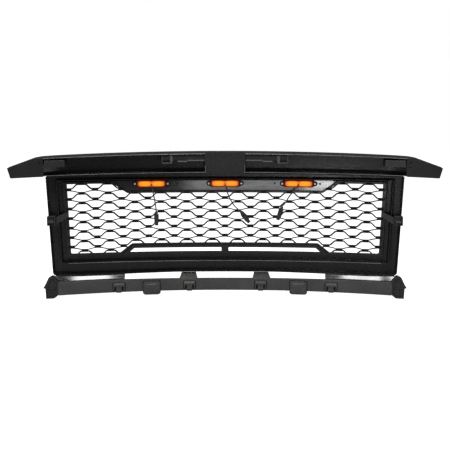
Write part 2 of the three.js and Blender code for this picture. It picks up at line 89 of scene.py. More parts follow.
# Surround, mesh and lamp panel.
FRAME_REAR = 36
FRAME_FRONT = 75
MESH_REAR = 52
MESH_FRONT = 60
MESH_TAPER = 6e-5
ROW_DROP = 22.7
FIRST_ROW = -95.4
ROWS = 9
COLUMNS = 13
PANEL_REAR = 54
LAMP_PITCH = 284.5
LAMP_HEIGHT = -99
LAMP_SCREW = 63
LAMP_HOLE = 2.4
GLOW_PLACE = 24
GLOW_LENGTH = 26.2
GLOW_HEIGHT = 10
GLOW_RAISE = 0.8
SEAT = 1.3
SCREW_HOLE = 2.3
SCREW_HEAD = 4
PANEL_SCREWS = (-366, -192, 192, 366)
MESH_SCREWS = ((-609.5, -150), (-601.5, -330), (-520, -372.5), (520, -372.5), (601.5, -330), (609.5, -150))
INSERT_SCREWS = (-170, 170)
INSERT_SCREW_HEIGHT = -373.5

# Lower bar, which drops by BAR_DROP metres times X squared.
BAR_HALF_WIDTH = 636.6
BAR_DROP = 0.016
BAR_UPPER_EDGE = -476
TAB_FOOT = -467
TAB_TOP = -448.6
TAB_TAPER = 0.22
CLIP_PLACES = (-409, -138, 138, 409)
CLIP_HEIGHT = -489.8
TONGUE_PLACE = 284
TAB_PLACE = 142
SIDE_CLIP = (656, 6.6, -228.5)

LEAD_ROUTES = (
    (
        (-282.8, 20.9, -99), (-282.2, 15, -99), (-279.5, 6, -107), (-275, 5, -130),
        (-270, 11, -160), (-266.5, 16, -186), (-265, 17, -204),
    ),
    (
        (0, 34.3, -99), (0, 28, -99), (3, 20, -109), (9, 20, -131),
        (19, 22, -155), (37, 25, -184), (60, 26, -206),
    ),
    (
        (282.8, 20.9, -99), (282.2, 15, -99), (275, 6, -108), (260, 7, -127),
        (245, 12, -148), (233, 15, -169), (220, 16, -185),
    ),
)
PLUG_DIRECTIONS = ((0.02, 0.02, -1), (0.62, 0, -0.78), (-0.3, 0, -0.95))

CAMERA_TARGET = (0, 0.040, -0.261)
CAMERA_DISTANCE = 3.5
CAMERA_ELEVATION = 9
CAMERA_LENS = 72

# name: place, target, width, depth, power
LIGHTS = {
    "overhead light": ((0, 0.2, 2.6), (0, 0.1, 0), 2.8, 1.0, 55),
    "high rear light": ((-0.7, -2.15, 2.6), (-0.1, 0, -0.3), 1.7, 1.0, 100),
    "panel glint light": ((0.27, -1.0, -0.219), (0.29, 0, -0.106), 0.16, 0.06, 0.45),
    "panel sheen light": ((0.04, -1.0, -0.219), (0.06, 0, -0.106), 0.26, 0.06, 0.18),
}


# ---- Properties ----


def length_setting(name, description, default):
    return bpy.props.FloatProperty(
        name=name, description=description, default=default, subtype="DISTANCE", unit="LENGTH"
    )


def colour_setting(name, description, default):
    return bpy.props.FloatVectorProperty(
        name=name, description=description, default=default, subtype="COLOR", size=3, min=0, max=1
    )


class GrilleSizes(bpy.types.PropertyGroup):
    """Sizes that change the look of the pieces inside the frame."""

    bow: bpy.props.FloatProperty(name="Bow", description="Fall back, times X squared", default=0.166)
    edge: length_setting("Edge radius", "Rounding of the moulded edges", 0.0009)
    mesh_pitch: length_setting("Mesh pitch", "Distance from one dash of the mesh to the next", 0.1)
    row_pitch: length_setting("Row pitch", "Height of one row of the mesh", 0.0371)
    thick_bar: length_setting("Thick bar", "Height of the mesh's wavy bar", 0.0054)
    thin_bar: length_setting("Thin bar", "Height of the mesh's arched bar", 0.0035)
    lead_diameter: length_setting("Lead diameter", "Diameter of each lamp's lead", 0.0048)


class GrilleColours(bpy.types.PropertyGroup):
    """Colours of the finishes."""

    satin_black: colour_setting("Satin black", "Painted mouldings", (0.006, 0.006, 0.0062))
    gloss_black: colour_setting("Gloss black", "Lamp panel", (0.008, 0.008, 0.0085))
    moulded_grey: colour_setting("Moulded grey", "Bare lower bar", (0.052, 0.052, 0.050))
    header_grey: colour_setting("Header grey", "Header covers and pad", (0.009, 0.009, 0.0088))
    amber: colour_setting("Amber", "Lamp bodies", (0.9, 0.17, 0.008))
    hot_amber: colour_setting("Hot amber", "Lit middle of the lamps", (1.0, 0.43, 0.012))
    rubber: colour_setting("Rubber", "Gaskets", (0.006, 0.006, 0.006))
    cable: colour_setting("Cable", "Lead sheaths", (0.035, 0.036, 0.038))
    steel: colour_setting("Steel", "Lamp screws", (0.93, 0.90, 0.87))
    floor: colour_setting("Floor", "Stage floor", (0.42, 0.42, 0.42))


def sizes():
    return bpy.context.scene.grille_sizes


def colours():
    return bpy.context.scene.grille_colours


# ---- Modelling helpers ----


def clear_selection():
    """Leave object mode with nothing selected."""
    active = bpy.context.view_layer.objects.active
    if active and active.mode != "OBJECT":
        bpy.ops.object.mode_set(mode="OBJECT")
    bpy.ops.object.select_all(action="DESELECT")


def only(piece):
    clear_selection()
    piece.select_set(True)
    bpy.context.view_layer.objects.active = piece


def open_mesh(piece):
    """Open the piece in edit mode with all of it selected."""
    only(piece)
    bpy.ops.object.mode_set(mode="EDIT")
    bpy.ops.mesh.select_all(action="SELECT")


def close_mesh():
    bpy.ops.object.mode_set(mode="OBJECT")


def settle(piece):
    """Put the object's place, turn and scale into its mesh."""
    only(piece)
    bpy.ops.object.transform_apply(location=True, rotation=True, scale=True)


def span(side, near, far):
    """The lower and the upper X of a stretch on one side."""
    return sorted((side * near, side * far))


def rectangle(left, bottom, right, top):
    return [(left, bottom), (right, bottom), (right, top), (left, top)]


def mirrored(points):
    """An outline's left half, followed by its right half."""
    return [*points, *((-x, z) for x, z in reversed(points))]


def circle(x, z, radius, sides=16):
    turns = [2 * math.pi * index / sides for index in range(sides)]
    return [(x + radius * math.cos(turn), z + radius * math.sin(turn)) for turn in turns]


def fillet(outline, radius, steps=3):
    """Round the corners of a closed outline."""
    rounded = []
    count = len(outline)
    for index, point in enumerate(outline):
        corner = Vector(point)
        before = Vector(outline[index - 1]) - corner
        after = Vector(outline[(index + 1) % count]) - corner
        reach = min(radius, 0.45 * before.length, 0.45 * after.length)
        start = corner + before.normalized() * reach
        end = corner + after.normalized() * reach
        for step in range(steps + 1):
            t = step / steps
            place = start * (1 - t) ** 2 + corner * (2 * t * (1 - t)) + end * t**2
            rounded.append((place.x, place.y))
    return rounded


def rounded_rectangle(x, z, width, height, radius, steps=4):
    half = width / 2
    tall = height / 2
    return fillet(rectangle(x - half, z - tall, x + half, z + tall), radius, steps)


def moulding(name, outlines, low, high, edge=None, plane="XZ", rounding=1):
    """A flat shape with holes, given thickness from low to high and rounded rims."""
    rim = sizes().edge / MM if edge is None else edge
    clear_selection()
    bpy.ops.curve.primitive_bezier_curve_add()
    piece = bpy.context.object
    piece.name = name
    curve = piece.data
    curve.splines.clear()
    for outline in outlines:
        spline = curve.splines.new("POLY")
        spline.points.add(len(outline) - 1)
        for point, (u, v) in zip(spline.points, outline):
            point.co = (u * MM, v * MM, 0, 1)
        spline.use_cyclic_u = True
    curve.dimensions = "2D"
    curve.fill_mode = "BOTH"
    curve.extrude = ((high - low) / 2 - rim) * MM
    curve.bevel_depth = rim * MM
    curve.bevel_resolution = rounding
    curve.offset = -rim * MM
    bpy.ops.object.convert(target="MESH")
    piece = bpy.context.object
    middle = (low + high) / 2 * MM
    piece.rotation_euler = (math.pi / 2, 0, 0 if plane == "XZ" else math.pi / 2)
    piece.location = (0, middle, 0) if plane == "XZ" else (middle, 0, 0)
    settle(piece)
    open_mesh(piece)
    bpy.ops.mesh.remove_doubles(threshold=1e-6)
    bpy.ops.mesh.normals_make_consistent(inside=False)
    close_mesh()
    return piece


def block(name, low, high, edge=0.8, segments=2):
    """A box between two corners with rounded edges."""
    clear_selection()
    centre = [(a + b) / 2 * MM for a, b in zip(low, high)]
    bpy.ops.mesh.primitive_cube_add(size=1, location=centre)
    piece = bpy.context.object
    piece.name = name
    piece.scale = [(b - a) * MM for a, b in zip(low, high)]
    settle(piece)
    if edge:
        open_mesh(piece)
        bpy.ops.mesh.bevel(offset=edge * MM, segments=segments, affect="EDGES")
        close_mesh()
    return piece


def post(name, start, end, radius, tip, edge=0.4, sides=24):
    """A round post between two points, narrowing to tip."""
    clear_selection()
    first = Vector(start) * MM
    last = Vector(end) * MM
    axis = last - first
    bpy.ops.mesh.primitive_cone_add(
        vertices=sides, radius1=radius * MM, radius2=tip * MM, depth=axis.length
    )
    piece = bpy.context.object
    piece.name = name
    open_mesh(piece)
    bpy.ops.mesh.edges_select_sharp(sharpness=math.radians(50))
    bpy.ops.mesh.bevel(offset=edge * MM, segments=2, affect="EDGES")
    close_mesh()
    piece.rotation_euler = Vector((0, 0, 1)).rotation_difference(axis).to_euler()
    piece.location = (first + last) / 2
    settle(piece)
    return piece


def join(name, pieces):
    clear_selection()
    for piece in pieces:
        piece.select_set(True)
    bpy.context.view_layer.objects.active = pieces[0]
    if len(pieces) > 1:
        bpy.ops.object.join()
    pieces[0].name = name
    return pieces[0]


def remove(*pieces):
    for piece in pieces:
        bpy.data.objects.remove(piece, do_unlink=True)


def carve(piece, *cutters):
    """Cut other pieces out of this one, and delete them."""
    for cutter in cutters:
        cut = piece.modifiers.new("Cut", "BOOLEAN")
        cut.operation = "DIFFERENCE"
        cut.solver = "EXACT"
        cut.object = cutter
        only(piece)
        bpy.ops.object.modifier_apply(modifier=cut.name)
        remove(cutter)
    return piece


def copy_of(piece, name, matrix):
    """A copy with its own mesh, moved by the matrix."""
    twin = piece.copy()
    twin.data = piece.data.copy()
    twin.name = name
    bpy.context.scene.collection.objects.link(twin)
    twin.data.transform(matrix)
    return twin


def slice_along(piece, spacing):
    """Cut the mesh into slices along X, so that it can bend."""
    places = [vertex.co.x for vertex in piece.data.vertices]
    start = min(places)
    length = max(places) - start
    count = max(1, round(length / (spacing * MM)))
    open_mesh(piece)
    for index in range(1, count):
        bpy.ops.mesh.select_all(action="SELECT")
        bpy.ops.mesh.bisect(plane_co=(start + length * index / count, 0, 0), plane_no=(1, 0, 0))
    close_mesh()
    return piece


def bend(piece, *moves):
    """Move each point of the mesh by each rule in turn."""
    for vertex in piece.data.vertices:
        for move in moves:
            vertex.co = move(vertex.co.copy())
    piece.data.update()
    return piece


def bowed(point):
    point.y -= sizes().bow * point.x**2
    return point


def bow_turn(x):
    """The turn about Z of something seated on the bow at x metres."""
    return Matrix.Rotation(math.atan(-2 * sizes().bow * x), 4, "Z")


def dropped(point):
    point.z -= BAR_DROP * point.x**2
    return point


def deepened(point):
    """Undo most of the drop along the lower bar's upper edge."""
    point.z += 0.9 * BAR_DROP * point.x**2 if point.z > BAR_UPPER_EDGE * MM else 0
    return point


def header_place(point):
    """A header point's distance from the middle, its height as a share, and its top edge's fall."""
    side = abs(point.x)
    wing = max(0, side - HEADER_CORNER * MM)
    fall = HEADER_DROOP * min(side, HEADER_CORNER * MM) ** 2 + WING_SLOPE * wing
    return side, (HEADER_TOP * MM - point.z) / (HEADER_HEIGHT * MM), fall


def following_header(point):
    side, depth, fall = header_place(point)
    point.z -= fall if point.z > HEADER_MIDDLE * MM else FOOT_DROOP * side**2
    return spread(point, side, depth)


def blended_header(point):
    """Follow the header with a fall that fades evenly from its top edge to its foot."""
    side, depth, fall = header_place(point)
    share = min(1, max(0, depth))
    point.z -= fall * (1 - share) + FOOT_DROOP * side**2 * share
    return spread(point, side, depth)


def spread(point, side, depth):
    """Lean the header's tips and draw its front edge back along the wings."""
    if point.y > HEADER_HALF_DEPTH * MM:
        point.y -= WING_DRAW * max(0, side - WING_START * MM)
    lean = TIP_LEAN * max(0, side - HEADER_CORNER * MM) * depth
    point.x -= math.copysign(lean, point.x)
    return point


def painted(pieces, look):
    """The same pieces, each with a finish of its own."""
    for piece in pieces:
        piece.data.materials.clear()
        piece.data.materials.append(finish(look))
    return pieces


def finish_piece(piece, look, node, angle=38):
    """Shade the piece, give it its finish if it has none, and tie it to the frame."""
    only(piece)
    bpy.ops.object.shade_smooth_by_angle(angle=math.radians(angle))
    weighting = piece.modifiers.new("Even shading", "WEIGHTED_NORMAL")
    weighting.keep_sharp = True
    bpy.ops.object.modifier_apply(modifier=weighting.name)
    if not piece.data.materials:
        piece.data.materials.append(finish(look))
    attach(piece, BODY)
    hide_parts(node)


def place_copy(template, node, kind, matrix, look, angle=38):
    """A finished copy of a template that stands for one node."""
    piece = copy_of(template, f"{node}_{kind}", matrix)
    finish_piece(piece, look, node, angle)
    return piece


# ---- Shader helpers ----


def feed(tree, node, **inputs):
    """Link or set each named input, where _ stands for a space."""
    for label, value in inputs.items():
        socket = node.inputs[label.replace("_", " ")]
        if isinstance(value, bpy.types.NodeSocket):
            tree.links.new(value, socket)
        else:
            socket.default_value = (*value, 1) if socket.type == "RGBA" else value
    return node


def add_node(tree, kind, **inputs):
    return feed(tree, tree.nodes.new(f"ShaderNode{kind}"), **inputs)


def add_math(tree, operation, *values, clamp=False):
    """A Math node whose inputs are sockets or numbers."""
    node = add_node(tree, "Math")
    node.operation = operation
    node.use_clamp = clamp
    for socket, value in zip(node.inputs, values):
        if isinstance(value, bpy.types.NodeSocket):
            tree.links.new(value, socket)
        else:
            socket.default_value = value
    return node.outputs[0]


def add_noise(tree, vector, scale, detail=3.0, stretch=None):
    if stretch:
        vector = add_node(tree, "Mapping", Vector=vector, Scale=stretch).outputs["Vector"]
    return add_node(tree, "TexNoise", Vector=vector, Scale=scale, Detail=detail).outputs["Fac"]


def add_ramp(tree, factor, *stops):
    """A colour ramp through (position, colour) stops."""
    node = add_node(tree, "ValToRGB", Fac=factor)
    ramp = node.color_ramp
    while len(ramp.elements) < len(stops):
        ramp.elements.new(0.5)
    for element, (position, colour) in zip(ramp.elements, stops):
        element.position = position
        shade = (colour,) * 3 if isinstance(colour, (int, float)) else colour
        element.color = (*shade, 1)
    return node.outputs["Color"]


def add_mix(tree, factor, first, second, blend="MIX"):
    """A colour Mix node whose inputs are sockets or colours."""
    node = add_node(tree, "Mix")
    node.data_type = "RGBA"
    node.blend_type = blend
    sockets = [node.inputs["Factor"], *(s for s in node.inputs if s.type == "RGBA")]
    for socket, value in zip(sockets, (factor, first, second)):
        if isinstance(value, bpy.types.NodeSocket):
            tree.links.new(value, socket)
        else:
            socket.default_value = (*value, 1) if socket.type == "RGBA" else value
    return next(s for s in node.outputs if s.type == "RGBA")


def add_bump(tree, height, strength, distance):
    bump = add_node(tree, "Bump", Height=height, Strength=strength, Distance=distance)
    return bump.outputs["Normal"]


def split_vector(tree, vector):
    return add_node(tree, "SeparateXYZ", Vector=vector).outputs


def scaled(colour, factor, rise=0.0):
    return tuple(min(1.0, channel * factor + rise) for channel in colour)


def start_group(name, numbers, outputs):
    """A group with a vector and numbers going in, and named kinds of socket coming out."""
    group = bpy.data.node_groups.new(name, "ShaderNodeTree")
    group.interface.new_socket("Vector", in_out="INPUT", socket_type="NodeSocketVector")
    for label, default in numbers.items():
        socket = group.interface.new_socket(label, in_out="INPUT", socket_type="NodeSocketFloat")
        socket.default_value = default
    for label, kind in outputs.items():
        group.interface.new_socket(label, in_out="OUTPUT", socket_type=f"NodeSocket{kind}")
    return group, group.nodes.new("NodeGroupInput").outputs, group.nodes.new("NodeGroupOutput")


def grain_group(name):
    """Fine moulded or painted grain, as a normal."""
    group, given, result = start_group(name, {"Scale": 900.0, "Strength": 0.2}, {"Normal": "Vector"})
    fine = add_noise(group, given["Vector"], given["Scale"], 4.0)
    cells = add_node(group, "TexVoronoi", Vector=given["Vector"], Scale=given["Scale"])
    height = add_math(group, "MULTIPLY_ADD", cells.outputs["Distance"], 0.6, fine)
    feed(group, result, Normal=add_bump(group, height, given["Strength"], 0.0004))
    return group


def variation_group(name):
    """Broad, soft unevenness left by moulding and handling."""
    outputs = {"Cloud": "Float", "Smear": "Float"}
    group, given, result = start_group(name, {"Scale": 9.0}, outputs)
    cloud = add_noise(group, given["Vector"], given["Scale"], 5.0)
    soft = add_ramp(group, cloud, (0.3, 0.0), (0.7, 1.0))
    smear = add_noise(group, given["Vector"], 26.0, 6.0, (1, 1, 5))
    streak = add_ramp(group, smear, (0.45, 0.0), (0.75, 1.0))
    feed(group, result, Cloud=soft, Smear=streak)
    return group


def masked(group, given, result, base, patches):
    """Send out the base, broken up by patches and scaled by the given amount."""
    mask = add_math(group, "MULTIPLY", base, patches)
    feed(group, result, Mask=add_math(group, "MULTIPLY", mask, given["Amount"], clamp=True))
    return group


def wear_group(name):
    """Rubbed edges, broken up by noise."""
    group, given, result = start_group(name, {"Amount": 0.5}, {"Mask": "Float"})
    pointiness = add_node(group, "NewGeometry").outputs["Pointiness"]
    edges = add_ramp(group, pointiness, (0.51, 0.0), (0.58, 1.0))
    patches = add_noise(group, given["Vector"], 120.0, 6.0)
    broken = add_ramp(group, patches, (0.42, 0.0), (0.62, 1.0))
    return masked(group, given, result, edges, broken)


def dust_group(name):
    """Dust that lies on faces that look up."""
    group, given, result = start_group(name, {"Amount": 0.2}, {"Mask": "Float"})
    upward = split_vector(group, add_node(group, "NewGeometry").outputs["Normal"])["Z"]
    facing = add_math(group, "MULTIPLY_ADD", upward, 0.8, 0.15, clamp=True)
    specks = add_noise(group, given["Vector"], 420.0, 5.0)
    broken = add_ramp(group, specks, (0.5, 0.0), (0.72, 1.0))
    return masked(group, given, result, facing, broken)


GROUPS = {
    "Surface grain": grain_group,
    "Handled unevenness": variation_group,
    "Rubbed edges": wear_group,
    "Settled dust": dust_group,
}


def place_group(tree, name, vector, **values):
    """The outputs of a shared group, which is made the first time that it is placed."""
    node = add_node(tree, "Group")
    node.node_tree = bpy.data.node_groups.get(name) or GROUPS[name](name)
    return feed(tree, node, Vector=vector, **values).outputs


def start_material(name):
    """A material, its tree, its shader, and the place of each point on the object."""
    material = bpy.data.materials.new(name)
    material.use_nodes = True
    tree = material.node_tree
    tree.nodes.clear()
    shader = add_node(tree, "BsdfPrincipled")
    add_node(tree, "OutputMaterial", Surface=shader.outputs["BSDF"])
    return material, tree, shader, add_node(tree, "TexCoord").outputs["Object"]


# ---- Finishes ----


def moulded_finish(
    name,
    colour,
    roughness,
    smear,
    grain,
    depth,
    wear,
    dust,
    metallic=0.0,
    specular=0.5,
    coat=0.0,
    lift=1.6,
):
    """A moulded, painted or plated surface with grain, unevenness, rubbed edges and dust."""
    material, tree, shader, place = start_material(name)
    uneven = place_group(tree, "Handled unevenness", place)
    texture = place_group(tree, "Surface grain", place, Scale=grain, Strength=depth)
    rubbed = place_group(tree, "Rubbed edges", place, Amount=wear)["Mask"]
    dusty = place_group(tree, "Settled dust", place, Amount=dust)["Mask"]
    base = add_mix(tree, uneven["Cloud"], scaled(colour, 0.75), scaled(colour, lift))
    base = add_mix(tree, rubbed, base, scaled(colour, 2.2, 0.03))
    base = add_mix(tree, dusty, base, (0.30, 0.29, 0.27))
    rough = add_math(tree, "MULTIPLY_ADD", uneven["Smear"], smear, roughness)
    dulled = add_math(tree, "MULTIPLY_ADD", dusty, 0.3, rough, clamp=True)
    feed(tree, shader, Base_Color=base, Roughness=dulled, Normal=texture["Normal"], Metallic=metallic)
    feed(tree, shader, Specular_IOR_Level=specular, Coat_Weight=coat, Coat_Roughness=0.08)
    return material


def lamp_finish(name, strength):
    """Amber plastic, lit from inside by two lamps side by side, red towards its rim."""
    material, tree, shader, place = start_material(name)
    inside = add_node(tree, "Attribute")
    inside.attribute_name = "lamp_place"
    x, _, z = split_vector(tree, inside.outputs["Vector"])
    across = add_math(tree, "ABSOLUTE", x)
    away = add_math(tree, "ABSOLUTE", add_math(tree, "SUBTRACT", across, GLOW_PLACE * MM))
    along = add_math(tree, "DIVIDE", away, GLOW_LENGTH * MM)
    raised = add_math(tree, "ABSOLUTE", add_math(tree, "SUBTRACT", z, GLOW_RAISE * MM))
    up = add_math(tree, "DIVIDE", raised, GLOW_HEIGHT * MM)
    powers = [add_math(tree, "POWER", along, 3.0), add_math(tree, "POWER", up, 3.2)]
    reach = add_math(tree, "MULTIPLY", add_math(tree, "ADD", *powers), 0.65)
    amber = tuple(colours().amber)
    rim = (amber[0] * 0.7, amber[1] * 0.3, amber[2])
    ember = (amber[0] * 0.16, amber[1] * 0.06, amber[2])
    stops = [(0.06, tuple(colours().hot_amber)), (0.3, (0.99, 0.25, 0.006))]
    glow = add_ramp(tree, reach, *stops, (0.55, amber), (0.68, rim), (0.9, ember))
    ends = add_ramp(tree, add_math(tree, "MULTIPLY", across, 10.0), (0.505, 0.0), (0.53, 1.0))
    glow = add_mix(tree, ends, glow, (0.02, 0.004, 0.001))
    cloud = add_noise(tree, place, 180.0, 4.0)
    mottled = add_ramp(tree, cloud, (0.3, 0.82), (0.7, 1.0))
    lit = add_mix(tree, 1.0, glow, mottled, "MULTIPLY")
    base = add_mix(tree, cloud, (0.20, 0.02, 0.0), (0.30, 0.04, 0.0))
    base = add_mix(tree, ends, base, (0.02, 0.006, 0.004))
    texture = place_group(tree, "Surface grain", place, Scale=600.0, Strength=0.05)
    rough = add_math(tree, "MULTIPLY_ADD", cloud, 0.14, 0.34)
    feed(tree, shader, Base_Color=base, Roughness=rough, Normal=texture["Normal"])
    feed(tree, shader, Specular_IOR_Level=0.18, Emission_Color=lit, Emission_Strength=strength)
    return material


def spring_steel(name):
    """Dark spring steel with fine drawn lines."""
    material, tree, shader, place = start_material(name)
    colour = (0.13, 0.13, 0.135)
    lines = add_noise(tree, place, 160.0, 6.0, (1, 1, 14))
    cloud = add_noise(tree, place, 60.0, 4.0)
    base = add_mix(tree, lines, scaled(colour, 0.62), colour)
    stained = add_ramp(tree, cloud, (0.35, 0.0), (0.8, 0.35))
    base = add_mix(tree, stained, base, (0.16, 0.145, 0.13))
    rough = add_math(tree, "MULTIPLY_ADD", lines, 0.22, 0.25)
    normal = add_bump(tree, lines, 0.12, 0.0003)
    feed(tree, shader, Base_Color=base, Roughness=rough, Normal=normal, Metallic=1.0)
    return material


def cable_finish(name):
    """Woven sleeve over a twin wire."""
    material, tree, shader, place = start_material(name)
    colour = tuple(colours().cable)
    uneven = place_group(tree, "Handled unevenness", place)
    weave = add_node(tree, "TexWave", Vector=place, Scale=260.0, Distortion=1.2)
    weave.bands_direction = "DIAGONAL"
    threads = weave.outputs["Fac"]
    base = add_mix(tree, threads, scaled(colour, 0.5), scaled(colour, 1.9))
    base = add_mix(tree, uneven["Smear"], base, scaled(colour, 1.3))
    rough = add_math(tree, "MULTIPLY_ADD", uneven["Cloud"], 0.15, 0.45)
    normal = add_bump(tree, threads, 0.5, 0.0003)
    feed(tree, shader, Base_Color=base, Roughness=rough, Normal=normal)
    return material


def board_finish(name):
    """Pale printed board with tracks and solder pads."""
    material, tree, shader, place = start_material(name)
    cells = add_node(tree, "TexVoronoi", Vector=place, Scale=260.0)
    cells.distance = "CHEBYCHEV"
    pads = add_ramp(tree, cells.outputs["Distance"], (0.12, 1.0), (0.2, 0.0))
    cloud = add_noise(tree, place, 90.0)
    mask = add_mix(tree, cloud, (0.55, 0.56, 0.5), (0.75, 0.74, 0.68))
    base = add_mix(tree, pads, mask, (0.75, 0.6, 0.28))
    rough = add_math(tree, "MULTIPLY_ADD", cloud, 0.3, 0.35)
    feed(tree, shader, Base_Color=base, Roughness=rough)
    return material


# name: colour or its setting, roughness, smear, grain, depth, wear, dust, and what else differs
MOULDED = {
    "satin black": ("satin_black", 0.26, 0.10, 1800.0, 0.015, 0.35, 0.05, {"specular": 0.42}),
    "gloss black": ("gloss_black", 0.10, 0.08, 1500.0, 0.02, 0.15, 0.05, {"coat": 0.4}),
    "moulded grey": ("moulded_grey", 0.5, 0.12, 2600.0, 0.12, 0.5, 0.1, {"lift": 1.25}),
    "bracket black": ((0.015, 0.015, 0.0148), 0.42, 0.12, 2600.0, 0.08, 0.6, 0.06, {}),
    "header grey": ("header_grey", 0.48, 0.12, 2600.0, 0.08, 0.4, 0.06, {"specular": 0.35}),
    # painted highlight grey: a lighter grey on thin beads, rolls and lips that paints in the bright lines
    # the lights draw along edges
    "edge grey": ((0.12, 0.12, 0.117), 0.3, 0.1, 2600.0, 0.05, 0.3, 0.05, {}),
    # The mesh bars get a lighter black than the satin black border they are moulded with; the lift paints
    # in their reflection of the studio.
    "mesh black": ((0.022, 0.022, 0.022), 0.36, 0.1, 2000.0, 0.05, 0.3, 0.05, {}),
    # deep black: the mesh dashes, and the plates that paint shadow outlines around the bosses and tongues
    "deep black": ((0.003, 0.003, 0.003), 0.6, 0.1, 1100.0, 0.1, 0.1, 0.02, {"specular": 0.15}),
    "rubber": ("rubber", 0.7, 0.15, 1300.0, 0.3, 0.1, 0.2, {"specular": 0.3}),
    "connector": ((0.06, 0.061, 0.063), 0.32, 0.15, 2200.0, 0.06, 0.8, 0.1, {"lift": 1.3}),
    "black steel": ((0.05, 0.05, 0.052), 0.35, 0.2, 1600.0, 0.08, 1.0, 0.1, {"metallic": 0.8}),
    "pale steel": ("steel", 0.3, 0.1, 900.0, 0.02, 0.1, 0.0, {"metallic": 0.1, "lift": 1.07}),
}
OTHERS = {
    "spring steel": spring_steel,
    "lamp body": lambda name: lamp_finish(name, 1.0),
    "lamp lens": lambda name: lamp_finish(name, 0.75),
    "cable": cable_finish,
    "circuit board": board_finish,
}


def finish(name):
    """A finish by name, made the first time that it is asked for."""
    material = bpy.data.materials.get(name)
    if material:
        return material
    if name in OTHERS:
        return OTHERS[name](name)
    colour, *numbers, more = MOULDED[name]
    if isinstance(colour, str):
        colour = getattr(colours(), colour)
    return moulded_finish(name, colour, *numbers, **more)


# ---- Stage ----


def add_camera():
    clear_selection()
    lean = math.radians(CAMERA_ELEVATION)
    target = Vector(CAMERA_TARGET)
    place = target + Vector((0, -math.cos(lean), math.sin(lean))) * CAMERA_DISTANCE
    bpy.ops.object.camera_add(location=place, rotation=(math.pi / 2 - lean, 0, 0))
    camera = bpy.context.object
    camera.name = "camera"
    camera.data.lens = CAMERA_LENS
    camera.data.sensor_width = 36
    bpy.context.scene.camera = camera


def add_area_light(name, place, target, width, depth, power):
    clear_selection()
    turn = (Vector(target) - Vector(place)).to_track_quat("-Z", "Y").to_euler()
    bpy.ops.object.light_add(type="AREA", location=place, rotation=turn)
    lamp = bpy.context.object
    lamp.name = name
    lamp.data.shape = "RECTANGLE"
    lamp.data.size = width
    lamp.data.size_y = depth
    lamp.data.energy = power
    lamp.visible_camera = False


def camera_switch(tree, first, second):
    """A Mix Shader that shows the second shader to the camera only."""
    path = add_node(tree, "LightPath")
    mix = add_node(tree, "MixShader", Fac=path.outputs["Is Camera Ray"])
    tree.links.new(first, mix.inputs[1])
    tree.links.new(second, mix.inputs[2])
    return mix.outputs["Shader"]


def add_world():
    """White to the camera, and a dim studio, darkest low in front, to the surfaces."""
    world = bpy.data.worlds.new("studio")
    bpy.context.scene.world = world
    world.use_nodes = True
    tree = world.node_tree
    tree.nodes.clear()
    _, y, z = split_vector(tree, add_node(tree, "TexCoord").outputs["Generated"])
    height = add_ramp(tree, z, (0.12, 0.0), (0.35, 1.0))
    rear = add_ramp(tree, add_math(tree, "SUBTRACT", 0.0, y), (0.0, 0.0), (0.25, 1.0))
    lit = add_math(tree, "MAXIMUM", height, rear)
    colour = add_mix(tree, lit, (0.12, 0.12, 0.13), (0.95, 0.97, 1.0))
    dim = add_node(tree, "Background", Color=colour, Strength=0.13)
    white = add_node(tree, "Background", Color=(1, 1, 1), Strength=1.0)
    seen = camera_switch(tree, dim.outputs["Background"], white.outputs["Background"])
    add_node(tree, "OutputWorld", Surface=seen)


def add_floor():
    clear_selection()
    lowest = CAD_BOUNDS[0][2]
    bpy.ops.mesh.primitive_plane_add(size=14, location=(0, 0, lowest - 0.0005))
    floor = bpy.context.object
    floor.name = "floor"
    settle(floor)
    material, tree, shader, place = start_material("pale floor")
    pale = tuple(colours().floor)
    base = add_mix(tree, add_noise(tree, place, 3.0), scaled(pale, 0.97), pale)
    feed(tree, shader, Base_Color=base, Roughness=0.9, Specular_IOR_Level=0.1)
    light = add_node(tree, "Emission", Color=(1, 1, 1), Strength=1.05)
    both = add_node(tree, "AddShader")
    tree.links.new(shader.outputs["BSDF"], both.inputs[0])
    tree.links.new(light.outputs["Emission"], both.inputs[1])
    output = next(node for node in tree.nodes if node.type == "OUTPUT_MATERIAL")
    feed(tree, output, Surface=camera_switch(tree, shader.outputs["BSDF"], both.outputs["Shader"]))
    floor.data.materials.append(material)


class GRILLE_OT_stage(bpy.types.Operator):
    """Set up the camera, the floor and the studio light"""

    bl_idname = "grille.stage"
    bl_label = "Stage"

    def execute(self, context):
        add_camera()
        add_floor()
        add_world()
        context.scene.view_settings.view_transform = "Standard"
        for name, values in LIGHTS.items():
            add_area_light(name, *values)
        return {"FINISHED"}


# ---- Leads and plugs ----


def centripetal_spline(route, steps):
    """Points on a smooth curve through the route, as evenly eased as a held wire."""
    points = [Vector(point) for point in route]
    padded = [2 * points[0] - points[1], *points, 2 * points[-1] - points[-2]]
    curve = [points[0]]
    for index in range(len(points) - 1):
        a, b, c, d = padded[index : index + 4]
        first = (b - a).length ** 0.5
        middle = (c - b).length ** 0.5
        last = (d - c).length ** 0.5
        out = ((b - a) / first - (c - a) / (first + middle) + (c - b) / middle) * middle
        into = ((c - b) / middle - (d - b) / (middle + last) + (d - c) / last) * middle
        for step in range(1, steps + 1):
            t = step / steps
            bulge = (-3 * b + 3 * c - 2 * out - into) * t**2
            twist = (2 * b - 2 * c + out + into) * t**3
            curve.append(b + out * t + bulge + twist)
    return curve


